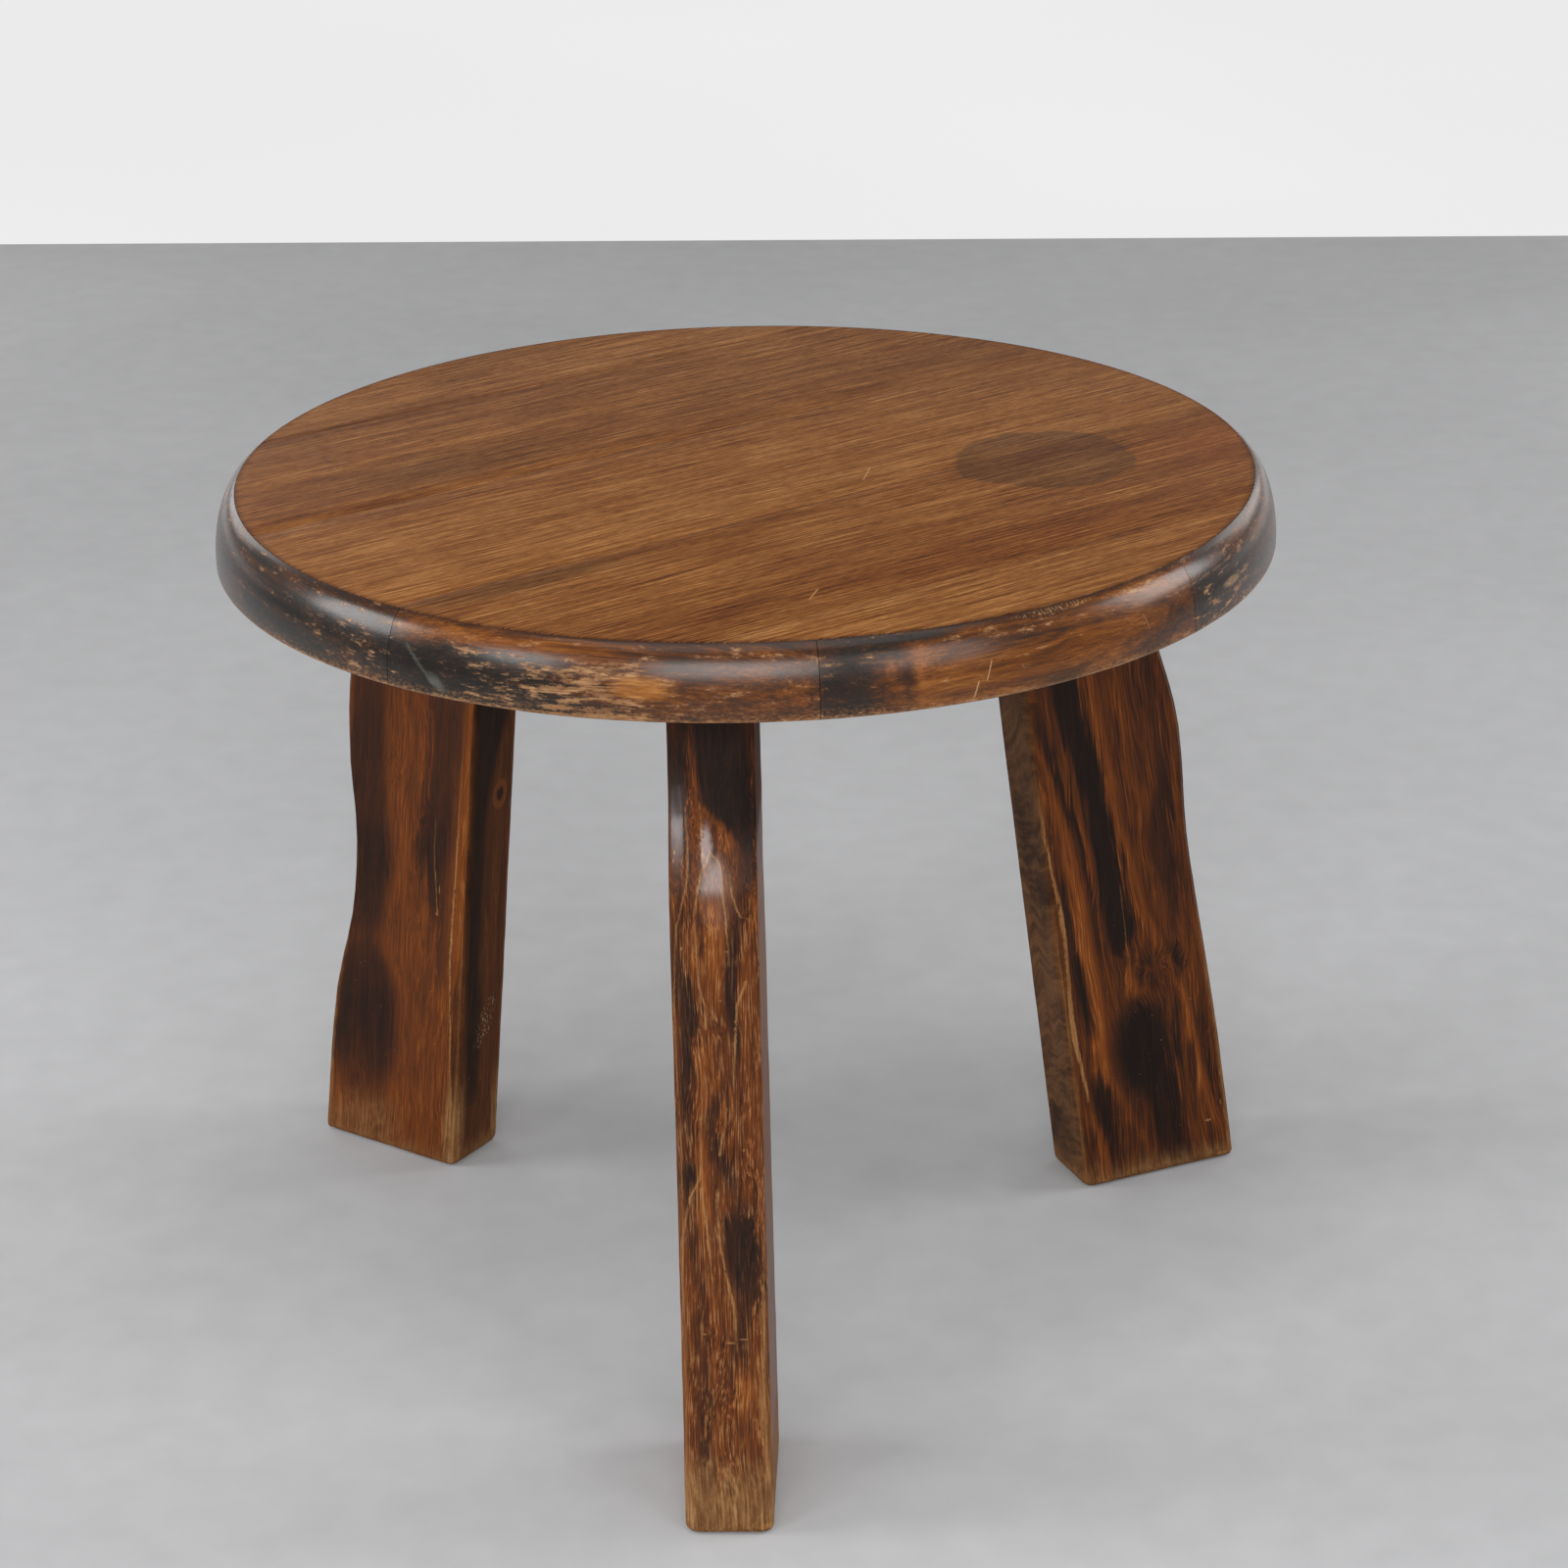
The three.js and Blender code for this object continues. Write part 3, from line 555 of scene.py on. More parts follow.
def make_rim_wood():
    """Dark lacquered wood, with bare places, patches and scratches where they show on the rim."""
    wood = Finish("rim_wood")
    rim = rim_grain(wood)
    z, around = rim.z, rim.around
    bands, threads, flecks, specks = rim.bands, rim.threads, rim.flecks, rim.specks
    colour = stain_rim(wood, rim)
    bare = bare_rim(wood, rim)
    pale = wood.tones(threads * 0.45 + bands * 0.25 + flecks * 0.3, [
        (0.36, 90, 58, 36), (0.47, 132, 90, 56), (0.56, 166, 124, 84), (0.66, 190, 154, 116)])
    colour = wood.mix(bare * 0.85, colour, pale)

    # The golden oval in front, then warm and dark patches
    orange = rim_patches(wood, rim, [(-96.8, 481.5, 21, 8, 0.6, 6, 3, 1)])
    colour = wood.mix(orange * 0.8, colour, wood.tones(bands * 0.5 + threads * 0.5, [
        (0.36, 108, 60, 20), (0.50, 148, 90, 30), (0.64, 182, 126, 58)]))
    warm = rim_patches(wood, rim, [
        (-69.6, 488, 5.5, 13, 0.6, 5, 0, 1), (-72.6, 487, 4, 9, 0.7, 5, 0, 0.7),
        (-112, 497, 46, 4, 0.7, 0, 4, 0.4),
    ])
    colour = wood.mix(warm.at_most(1) * 0.7, colour, wood.tones(threads * 0.6 + bands * 0.4, [
        (0.38, 104, 56, 24), (0.52, 136, 78, 34), (0.66, 164, 104, 54)]))
    dark = rim_patches(wood, rim, [
        (-77.2, 482, 11, 15, 0.8, 14, 0, 0.6), (-70.9, 482, 7, 13, 0.9, 12, 0, 0.55),
        (-71, 500.4, 34, 2.6, 0.6, 0, 3, 1), (-54, 468, 30, 6, 0.8, 0, 0, 0.6),
        (-42, 470, 22, 8, 0.8, 0, 0, 0.45),
    ])
    colour = wood.mix((dark * (0.6 + flecks)).at_most(1), colour, seen(34, 22, 17))

    # Torn lacquer at the upper edge, scuffs and scratches
    torn = rim_patches(wood, rim, [(-54, 501.2, 29, 1.6, 0.4, 0, 0, 1)])
    torn = torn * wood.ease(wood.noise(rim.surface, (0.8, 3, 2.5), detail=2), 0.52, 0.62)
    scuffs = (
        wood.scratch(around + specks.swing(4), z, (-122.6 * ARC, 490), (-118.6 * ARC, 470), 1.6) * 0.4
        + wood.spot(around + (z - 472) * 0.75 + specks.swing(5), z, (-118.4 * ARC, 472), (5.5, 6.5), 0.9) * 0.7
    )
    scratches = rim_patches(wood, rim, [
        (-23.4, 466, 2.6, 1.2, 0.5, 0, 0, 1), (-26.4, 480.5, 13, 3, 0.6, 8, 0, 0.5)])
    scratches = scratches + wood.scratches(around, z, [
        ((-62.1 * ARC, 485), (-62.8 * ARC, 474), 0.6, 1), ((-63.6 * ARC, 475.5), (-64.2 * ARC, 466.5), 0.7, 1),
        ((-43 * ARC, 487), (-42.2 * ARC, 478), 0.35, 0.6),
    ])
    colour = wood.mix((scuffs * 0.8).at_most(1), colour, seen(98, 100, 92))
    colour = wood.mix((scratches + torn * 0.8).at_most(1) * 0.85, colour, seen(176, 140, 98))

    # The dark line by the veneer, partly painted shade of the joint and partly grime, and the dark glue lines
    # in the joints
    joint_shade_and_grime = wood.ease(rim.radius + flecks.swing(4), 290.5, 287.6)
    colour = wood.mix(joint_shade_and_grime * 0.75, colour, seen(44, 22, 13))
    glue_line = wood.ease(rim.to_joint + specks.swing(0.6), 0.7, 0.1)
    colour = wood.mix(glue_line * (0.1 + flecks * 0.6), colour, seen(30, 19, 14))
    wear = wood.noise(rim.surface, (40, 30, 16), detail=4, roughness=0.6)
    gloss = 0.27 + wear.swing(0.16) + bare * 0.2 + specks.swing(0.16) + (scuffs + torn).at_most(1) * 0.15
    height = threads * 0.4 + bands * 0.3 - bare * 0.5 + flecks * 0.35 - scratches * 0.6
    return wood.finish(colour, gloss, height, 0.14, specular=0.2, coat=0.42 - bare * 0.12, coat_roughness=0.2)


# What shows on each leg, in mm: across from the inner edge on the wide faces, sideways from the middle on the
# narrow ones, and up from the floor. A streak lists height, middle, half width and strength, and a chip its
# place, radii and strength. Tone and bright are the shades of the plain wood and of its warm streaks, streaky
# and thready say how much its bands and threads show, foot is how high the bare foot reaches, and soft how
# gently a dark streak ends.
LEG_FIGURE = {
    "front": {
        "tone": 0.63, "bright": 0.92, "streaky": 0.85, "thready": 1.3, "foot": 36, "soft": 2.6,
        # From about 400 mm up, under the rim, the two dark streaks widen across the whole outer face, so the
        # leg's top is near black
        "dark": [
            [(0, -12, 2, 0.1), (60, -13, 3, 0.35), (120, -9, 3, 0.3), (160, -15, 3, 0.35),
             (192, -17, 3.5, 0.6), (204, -17, 4.5, 0.9), (216, -16, 3, 0.3), (253, -18, 4, 0.6),
             (290, -14.5, 4.5, 0.8), (320, -19, 4, 0.6), (375, -17, 3, 0.4), (402, -17, 6, 0.75),
             (464, -17, 9, 0.9)],
            [(60, 5, 1, 0.0), (90, 3, 2, 0.3), (130, 13, 6, 0.5), (152, 12, 9, 0.85), (178, 11, 8, 0.8),
             (192, 9, 4, 0.3), (215, -2, 3.5, 0.6), (240, -2.5, 4, 0.5), (262, 10, 2, 0.3), (293, 8.5, 3, 0.8),
             (330, 10, 4, 0.6), (352, 16, 5, 0.5), (372, 19, 4, 0.6), (387, 16, 7, 0.8), (402, 9, 14, 1.0),
             (464, 6, 17, 1.0)],
        ],
        "warm": [
            [(60, 10, 2, 0.0), (72, 9.5, 3, 0.7), (86, 10.9, 4, 0.8), (100, 10, 2, 0.0)],
            [(290, -2, 3, 0.3), (303, -1.6, 4, 0.7), (334, 1, 4, 0.9), (352, -1, 4, 0.8), (360, -1, 3, 0.0)],
            [(392, -10.5, 2, 0.4), (404, -10.8, 2.5, 0.7), (420, -10.4, 2.5, 0.7), (446, -11, 2, 0.2)],
            [(377, 9, 1.5, 0.3), (383, 7.5, 2.5, 0.9), (391, 4, 1.5, 0.6), (396, 3, 1, 0.0)],
            [(170, -9, 2, 0.3), (187, -8.6, 3, 0.8), (207, -10, 2.5, 0.8), (263, -8.4, 3, 0.6),
             (285, -6, 2, 0.3)],
            [(336, 21.5, 1.5, 0.6), (345, 21, 2.5, 0.9), (357, 20.3, 2, 0.8), (370, 20, 1, 0.0)],
        ],
        "worn": [
            [(100, -20, 0.3, 0.2), (139, -21.8, 0.4, 0.8), (172, -20.6, 0.3, 0.6), (232, -20.7, 0.3, 0.6),
             (288, -21.9, 0.4, 0.7), (339, -19.4, 0.4, 0.6), (357, -14.8, 0.4, 0.8), (375, -12.6, 0.5, 0.8),
             (396, -13.3, 0.4, 0.4)],
            [(285, -5.7, 0.8, 0.9), (298, -5.5, 0.6, 0.9), (308, -8.1, 0.5, 0.9), (339, -9.6, 0.5, 0.9),
             (353, -8.8, 0.5, 0.9), (370, -5.2, 0.6, 1.0), (378.5, -1.2, 0.5, 0.9)],
            [(370, -5.2, 0.4, 0.7), (388, -5.4, 0.5, 0.8), (402, -6.2, 0.4, 0.3)],
            [(320, 7.5, 0.4, 0.3), (339, 6.8, 0.5, 0.8), (362, 5, 0.5, 0.9), (373, 3.6, 0.6, 1.0),
             (378.5, -1.2, 0.5, 0.9)],
            [(343, 19, 0.4, 0.4), (345, 15, 0.4, 0.6), (348, 12.7, 0.5, 0.8), (357, 10.1, 0.5, 0.8),
             (370, 8.4, 0.4, 0.3)],
            [(250, 8.4, 0.4, 0.5), (273, 9.4, 0.6, 0.9), (299, 11.5, 0.6, 0.8), (311, 16, 1.0, 0.9)],
            [(215, -0.1, 0.8, 0.6), (242, 4.8, 0.3, 0.6)],
            [(162, -21.8, 0.4, 0.5), (192, -16.2, 0.6, 0.9), (202, -11.1, 0.7, 0.9), (222, -9.6, 0.4, 0.6),
             (252, -8.7, 0.4, 0.6), (273, -9.1, 0.3, 0.4)],
            [(115, -4.5, 0.3, 0.2), (157, -6.5, 0.5, 0.7), (177, -8.4, 0.8, 1.0), (197, -10.3, 0.7, 0.9)],
            [(111, 6, 0.5, 0.5), (131, 4.9, 0.9, 1.0), (144, 2.3, 0.7, 1.0), (160, -0.2, 0.5, 0.9),
             (172, -1.4, 0.5, 0.9), (196, -2.2, 0.3, 0.5)],
            [(30, 21.5, 1.0, 0.5), (65, 19.4, 2.0, 0.7), (100, 20, 1.2, 0.7), (123, 20.7, 1.2, 0.8),
             (150, 21.5, 0.5, 0.2)],
        ],
        "chips": [(-19.6, 377, 0.8, 1.5, 0.9), (-20.1, 373, 0.8, 1.4, 0.8), (-16.8, 329, 0.9, 1.3, 0.8),
                  (6.6, 328, 1.8, 0.6, 0.6), (2.6, 301, 0.8, 0.8, 1.0), (12.8, 218, 0.8, 1.1, 1.0),
                  (15.3, 204, 0.5, 0.7, 0.8), (3.4, 110, 3.2, 0.9, 0.9), (-10.5, 115, 1.4, 0.9, 0.7),
                  (19.5, 5, 5, 2.6, 1.0), (10, 112, 3.5, 0.8, 0.6)],
    },
    "left": {
        "tone": 0.65, "bright": 0.88, "streaky": 0.46, "thready": 0.85, "foot": 3, "soft": 6.5,
        "dark": [
            [(30, 80, 18, 0.1), (56, 79, 24, 0.5), (72, 79, 27, 0.72), (90, 79, 27, 0.8), (116, 79, 25, 0.74),
             (136, 81, 19, 0.66), (149, 82, 14, 0.48), (162, 80, 14, 0.6), (185, 77, 14, 0.76),
             (210, 75, 14, 0.84), (240, 80, 14, 0.64), (292, 82, 13, 0.66), (330, 82, 13, 0.6),
             (375, 82, 14, 0.7), (464, 80, 16, 0.8)],
            [(125, 18, 1, 0.0), (137, 18.3, 1.5, 0.4), (161, 19, 3, 0.5), (181, 22, 5, 0.66),
             (205, 25.5, 9, 0.74), (228, 26, 12, 0.8), (262, 24, 12, 0.62), (305, 21, 13, 0.5),
             (400, 22, 13, 0.55), (464, 24, 13, 0.66)],
            [(300, 84, 2, 0.0), (330, 83, 2, 0.5), (380, 80, 2, 0.5), (464, 78, 2, 0.6)],
            [(20, 2, 2, 0.7), (60, 4, 2.5, 0.8), (110, 3, 3, 0.7), (150, 2, 2, 0.3)],
        ],
        "warm": [[(120, 4, 2, 0.0), (150, 5, 3, 0.7), (208, 4, 3.5, 0.95), (264, 4, 3, 1.0), (328, 3, 3, 1.0),
                  (464, 2, 3, 0.9)]],
        "worn": [
            [(30, 5, 0.8, 0.5), (58, 5.8, 0.6, 0.7), (105, 8, 0.5, 0.9), (150, 9.9, 0.6, 1.0),
             (208, 8.8, 0.5, 1.0), (264, 7.9, 0.3, 0.6), (328, 6.2, 0.2, 0.1)],
            [(178, 22.1, 0.9, 0.9), (184, 22.5, 0.35, 0.6), (215, 25.8, 0.35, 0.6), (246, 26.1, 0.2, 0.2)],
        ],
        "inner_dark": [(40, 8, 4, 0.5), (60, 8, 5, 0.8), (106, 9, 7, 0.8), (148, 13, 7, 0.95),
                       (217, 14, 8, 0.95), (270, 13, 10, 0.95), (307, 8, 18, 0.9), (464, 4, 22, 0.95)],
        "ring": (-7.5, 256),
        "chips": [(21, 196, 0.5, 4, 0.8), (20.6, 138, 0.5, 4, 0.7)],
    },
    "right": {
        "tone": 0.50, "bright": 0.76, "streaky": 0.72, "thready": 1.1, "foot": 6, "soft": 2.6,
        "dark": [
            [(155, 42, 2, 0.0), (160, 41, 4, 0.8), (176, 44, 9.5, 1.0), (205, 42.3, 9, 1.0),
             (237, 40, 8.5, 1.0), (270, 37.5, 7.5, 1.0), (301, 33, 9, 1.0), (333, 27, 9.5, 1.0),
             (400, 24, 11, 1.0), (464, 22, 12, 1.0)],
            [(150, 29, 1, 0.2), (165, 28, 1, 0.8), (210, 26.7, 1.4, 0.9), (252, 21, 2, 0.9),
             (291, 12, 2.5, 0.85), (336, 3, 3, 0.8)],
            [(98, 17, 1, 0.0), (110, 17, 2.5, 0.8), (121, 16.2, 4, 0.9), (140, 14, 4, 0.9),
             (168, 10.9, 3, 0.8), (212, 8.6, 2, 0.7), (235, 7, 1, 0.1)],
            [(0, 68, 10, 0.5), (28, 64, 11, 0.75), (48, 62, 12, 0.85), (72, 58, 12, 0.85), (100, 55, 12, 0.8),
             (118, 56, 8, 0.4)],
            [(38, 99, 1, 0.4), (51, 97.5, 2, 0.85), (85, 94, 1.4, 0.6), (118, 91, 1, 0.6),
             (137, 88, 0.6, 0.1)],
            [(0, 24, 4, 0.5), (32, 21.3, 5, 0.75), (67, 18.7, 6, 0.8), (82, 17, 3, 0.2)],
            [(165, 82, 2, 0.1), (200, 84, 6, 0.55), (231, 77, 7, 0.5), (271, 86, 5, 0.6), (300, 84, 4, 0.3),
             (464, 78, 6, 0.4)],
        ],
        "warm": [
            [(0, 50, 2, 0.2), (27, 43, 2.5, 0.45), (65, 29.4, 3, 0.6), (89, 22.3, 4.5, 0.9),
             (133, 21.5, 5.5, 1.0), (177, 19, 5.5, 1.0), (220, 17.5, 4.5, 0.9), (258, 11, 4.5, 0.9),
             (290, 6, 3.5, 0.8), (340, 4, 2, 0.5)],
            [(170, 31, 1, 0.4), (210, 29.8, 1.2, 0.8), (250, 25.5, 1.6, 0.9), (270, 21, 1, 0.3)],
            [(105, 92, 2, 0.2), (150, 76, 3, 0.5), (180, 62, 4, 0.8), (208, 57, 3.5, 0.9), (244, 51.5, 3, 0.9),
             (300, 47, 3, 0.8), (350, 43, 3, 0.7), (464, 40, 4, 0.7)],
            [(15, 99, 2, 0.5), (31, 96, 3, 0.8), (62, 90, 3, 0.9), (100, 86, 3, 0.9), (128, 81, 3.5, 0.9),
             (142, 76, 2, 0.2)],
            [(0, 18, 3, 0.8), (22, 15.7, 3.5, 0.9), (51, 10, 2.5, 0.8), (62, 8, 1.5, 0.0)],
            [(124, 50, 2, 0.0), (131, 49.5, 3, 0.9), (141, 48.5, 3.5, 0.9), (150, 46, 3, 0.3)],
            [(240, 66, 1.5, 0.2), (280, 62, 2, 0.7), (330, 60, 2, 0.7), (464, 56, 2, 0.6)],
        ],
        "worn": [
            [(62, 8.5, 0.6, 0.5), (72, 8.1, 0.9, 0.9), (95, 6, 1.2, 0.9), (115, 4.6, 1.4, 1.0),
             (150, 5.4, 0.9, 0.7), (189, 5.9, 1.3, 1.0), (215, 4, 0.8, 0.8), (245, 2.1, 0.7, 0.8),
             (300, 0.5, 0.3, 0.2)],
            [(127, 47.6, 0.12, 0.5), (206, 47.8, 0.12, 0.5)],
        ],
        "chips": [(91, 30, 3, 1.2, 0.9), (101, 41, 0.8, 3, 0.7), (99, 4, 6, 2, 0.6)],
    },
}


def leg_grain(wood, name):
    """Places on a leg in mm, and the noises of its wood, whose grain runs up the leg."""
    sizes, top = LEGS[name], LEG_TOP / MM
    radial, side, z = wood.parts(wood.place(AXIS, math.radians(sizes["azimuth"])))
    across = radial - (sizes["reach"] - sizes["width"]) + z * (sizes["lean"] / top)
    foot_step, top_step = sizes["sidestep"]
    side = side - foot_step - z * ((top_step - foot_step) / top)
    board = across + sizes["stretch"]
    solid = wood.point(board, side, z)
    sway = wood.noise(solid, (30, 30, 110), detail=2)
    grain = wood.point(board + sway.swing(20), side + sway.swing(16), z)
    swirl, turn_z = None, z
    if name == "right":
        # The grain swirls round the big knot
        swirl = wood.spot(across, z, (64, 142), (36, 44), 0.95)
        swirl = swirl * wood.noise(solid, (15, 15, 24), detail=2).swing(1)
        turn_z = z + swirl * 12
        grain = wood.point(board + sway.swing(20) + swirl * 24, side, turn_z)
    bands = wood.noise(grain, (5.5, 5.5, 170), detail=4, roughness=0.62)
    fibres = wood.noise(grain, (2.0, 2.0, 70), detail=3, roughness=0.65)
    return SimpleNamespace(
        across=across, side=side, z=z, lateral=side if name == "front" else across, solid=solid,
        sway=sway, swirl=swirl, turn_z=turn_z, bands=bands, fibres=fibres,
        streaks=bands.swing(0.75) + fibres.swing(0.85),
        threads=wood.noise(grain, (0.8, 0.8, 26), detail=2, roughness=0.65),
        blotch=wood.noise(solid, (24, 24, 50), detail=4, roughness=0.6),
        patches=wood.noise(solid, (5, 5, 9), detail=4, roughness=0.68),
        specks=wood.noise(solid, (1.6, 1.6, 2.4), detail=3, roughness=0.65),
    )


def stain_leg(wood, leg, figure):
    """The stained colour with its streaks, and where the dark ones run."""
    bands, fibres, threads, blotch = leg.bands, leg.fibres, leg.threads, leg.blotch
    ragged = leg.lateral + blotch.swing(7) + bands.swing(12) + fibres.swing(13) + threads.swing(10)
    even = leg.lateral + blotch.swing(6) + bands.swing(6) + fibres.swing(7) + threads.swing(6)
    if leg.swirl:
        ragged = ragged + leg.swirl * 16
    dark = wood.any_of([wood.trail(ragged, leg.turn_z, rows, figure["soft"]) for rows in figure["dark"]])
    warm = wood.any_of([wood.trail(even, leg.turn_z, rows, 2.4) for rows in figure["warm"]])
    if leg.swirl:
        # The eye of the big knot and the dark places round it
        eye_height = leg.z + leg.patches.swing(12)
        knotty = blotch * 0.5 + fibres * 0.3 + leg.patches * 0.2
        dark = wood.any_of([
            wood.spot(ragged + leg.z * 0.4 - 59, eye_height, (84.2, 150), (8, 17), 0.9) * 0.9,
            wood.spot(leg.across, leg.z, (68, 145), (25, 25), 0.7) * wood.ease(knotty, 0.46, 0.56) * 0.8,
            wood.spot(ragged, leg.z + leg.patches.swing(14), (52, 90), (27, 46), 0.55),
            dark,
        ])
    dark = dark * (1 + fibres.swing(1.5) + threads.swing(1.5))
    plain, bright, streaky = figure["tone"], figure["bright"], figure["streaky"]
    shade = (
        plain + leg.streaks * streaky + threads.swing(figure["thready"]) + blotch.swing(0.3)
        + warm * (bright - plain) - dark * (0.80 * plain) - dark * leg.streaks * streaky * 0.5
    )
    colour = wood.tones(shade, [
        (0.0, 22, 13, 10), (0.12, 29, 17, 11), (0.28, 47, 25, 14), (0.44, 67, 34, 15),
        (0.60, 88, 45, 16), (0.76, 107, 55, 18), (0.9, 127, 69, 25), (1.0, 148, 92, 44),
    ])
    return colour, dark


def lay_left_inner_face(wood, leg, figure, colour, inner_face):
    """The left leg's narrow inner face: dark streaks, a small ringed knot and pale scars near the floor."""
    dark = wood.trail(leg.side + leg.blotch.swing(8) + leg.fibres.swing(5), leg.z, figure["inner_dark"], 4)
    x, y = figure["ring"]
    from_ring = ((leg.side - x) ** 2 + ((leg.z - y) / 1.35) ** 2) ** 0.5 + leg.patches.swing(2)
    ring = wood.ease(abs(from_ring - 5.6), 2.6, 0.6)
    eye = wood.ease(from_ring, 3.4, 2.0)
    shade = 0.60 + leg.streaks * 0.6 + leg.threads.swing(0.5) - dark * 0.42 + ring * 0.34 - eye * 0.3
    colour = wood.mix(inner_face, colour, wood.tones(shade, [
        (0.05, 26, 17, 12), (0.3, 46, 29, 18), (0.55, 68, 38, 21), (0.8, 98, 56, 27)]))
    scarred = wood.spot(leg.side + leg.z * 0.35 - 34, leg.z, (-3, 97), (10, 20), 0.5)
    scars = wood.ease(leg.specks, 0.56, 0.64) * scarred
    return wood.mix(scars * inner_face * 0.9, colour, seen(150, 128, 104))


def lay_right_inner_face(wood, leg, colour, inner_face):
    """The right leg's narrow inner face: curled greyish grain with two dusky places."""
    curled = wood.point(leg.side * 0.5, 0, leg.z + leg.side * 0.5 + leg.sway.swing(40))
    curl = wood.noise(curled, (14, 10, 6), detail=4, roughness=0.62)
    dusk = wood.any_of([wood.spot(leg.side, leg.z, centre, radii, 0.8)
                        for centre, radii in [((-4, 225), (30, 60)), ((6, 30), (24, 34))]])
    shade = 0.60 + curl.swing(1.6) + leg.fibres.swing(0.5) - dusk * 0.25 + leg.blotch.swing(0.4)
    return wood.mix(inner_face, colour, wood.tones(shade, [
        (0.0, 36, 22, 13), (0.3, 56, 36, 22), (0.55, 80, 52, 31), (0.8, 102, 69, 42)]))


def to_leg_corner(wood, leg, sizes):
    """How far a place is from the nearest long arris, raggedly."""
    top = LEG_TOP / MM
    half_thickness = FOOT_THICKNESS / 2 - leg.z * ((FOOT_THICKNESS - LEG_TOP_THICKNESS) / 2 / top)
    to_face = half_thickness - abs(leg.side)
    to_outer = sizes["width"] * wood.level(leg.z / top, sizes["edge"]) - leg.across
    return (leg.across + to_face).at_most(to_outer + to_face) + leg.patches.swing(3)


def bare_foot(wood, leg, name, to_corner):
    """Where the wood near the floor is bare."""
    reach, foot = leg.z + leg.blotch.swing(26) + leg.fibres.swing(22), LEG_FIGURE[name]["foot"]
    bare = wood.ease(reach, foot + 16, foot - 14)
    if name == "left":
        outer = wood.ease(reach, 44, 14) * wood.ease(leg.across + leg.fibres.swing(20), 36, 60) * 0.45
        corner = wood.ease(reach, 70, 30) * wood.ease(to_corner, 13, 6) * wood.ease(leg.across, 20, 10)
        bare = wood.any_of([bare, outer, corner])
    return bare


def bare_leg(wood, leg, name, to_corner):
    """Where the stain is gone: along hewn edges, in chips, at the arrises and in small scars."""
    figure = LEG_FIGURE[name]
    on_face = wood.ease(leg.across, 40, 60) if name == "front" else wood.ease(leg.across, 0.5, 2)
    ragged = leg.lateral + leg.specks.swing(1.6) + leg.patches.swing(2)
    worn = wood.any_of([wood.trail(ragged, leg.z, rows, 0.5) for rows in figure["worn"]])
    worn = worn * wood.ease(leg.fibres * 0.3 + leg.specks * 0.3 + leg.patches * 0.4, 0.36, 0.47)
    rubbed = leg.fibres * 0.4 + leg.specks * 0.35 + wood.ease(leg.z, 320, 20) * 0.2
    arris = wood.ease(to_corner, 5.5, 2.5) * wood.ease(rubbed, 0.40, 0.55)
    chips = wood.any_of([wood.spot(leg.lateral + leg.specks.swing(1.2), leg.z, (x, y), (w, h), 0.6) * amount
                         for x, y, w, h, amount in figure["chips"]])
    scars = wood.ease(leg.specks * 0.6 + leg.patches * 0.4, 0.63, 0.68) * wood.ease(leg.z, 330, 30) * 0.7
    return (worn * on_face + arris * 0.65 + chips * on_face + scars).at_most(1)


def make_leg_wood(name):
    """Dark stained wood, bare where it is worn and dull on the foot and the narrow inner face."""
    wood = Finish(f"leg_wood_{name}")
    leg = leg_grain(wood, name)
    colour, dark = stain_leg(wood, leg, LEG_FIGURE[name])
    inner_face = wood.ease(leg.across + leg.patches.swing(1.5), 3.2, 1.0)
    if name == "left":
        colour = lay_left_inner_face(wood, leg, LEG_FIGURE[name], colour, inner_face)
    if name == "right":
        colour = lay_right_inner_face(wood, leg, colour, inner_face)
    to_corner = to_leg_corner(wood, leg, LEGS[name])
    warm_arris = wood.ease(to_corner, 8, 3) * wood.ease(leg.blotch, 0.4, 0.6)
    colour = wood.mix(warm_arris * 0.4, colour, seen(112, 62, 28))
    if name == "front":
        scuffed = wood.ease(leg.patches * 0.35 + leg.threads * 0.65, 0.50, 0.68) * wood.ease(leg.z, 380, 320)
        colour = wood.mix(scuffed * (1.1 - dark).at_least(0) * 0.5, colour, seen(170, 128, 86))
    foot = bare_foot(wood, leg, name, to_corner)
    foot_grain = leg.fibres * 0.35 + leg.threads * 0.35 + leg.patches * 0.3
    colour = wood.mix(foot * 0.8, colour, wood.tones(foot_grain, [
        (0.36, 78, 48, 27), (0.46, 114, 76, 44), (0.54, 142, 104, 65), (0.66, 174, 140, 98)]))
    bare = bare_leg(wood, leg, name, to_corner)
    colour = wood.mix(bare * 0.85, colour, wood.tones(leg.threads, [
        (0.35, 126, 82, 42), (0.6, 160, 116, 70), (0.8, 186, 148, 104)]))
    dull = foot.at_least(inner_face)
    gleam = 0.08
    if name == "front":
        # The polished hollows of the hewn bend, between dull wood
        across_bend = leg.lateral + leg.patches.swing(4) + leg.threads.swing(4)
        gleam = wood.any_of([wood.spot(across_bend, leg.z, centre, radii, soft) for centre, radii, soft in [
            ((2.0, 356), (11, 24), 0.5), ((-3.2, 380), (4.5, 17), 0.7), ((-18, 396), (9, 34), 0.8)]])
        dull = dull.at_least(wood.ease(leg.z + leg.blotch.swing(20), 370, 390) * (1 - gleam))
        gleam = gleam + 0.08
    wear = wood.noise(leg.solid, (22, 22, 50), detail=4, roughness=0.6)
    gloss = 0.40 + wear.swing(0.2) + bare * 0.2 + dull * 0.25 + leg.threads.swing(0.16)
    height = leg.bands * 0.3 + leg.fibres * 0.5 + leg.threads * 0.5 - bare * 0.4 + leg.patches * 0.2
    return wood.finish(colour, gloss, height, 0.12, specular=0.13 if name == "front" else 0.10,
                       coat=gleam * (1 - dull) * 0.9, coat_roughness=0.22)


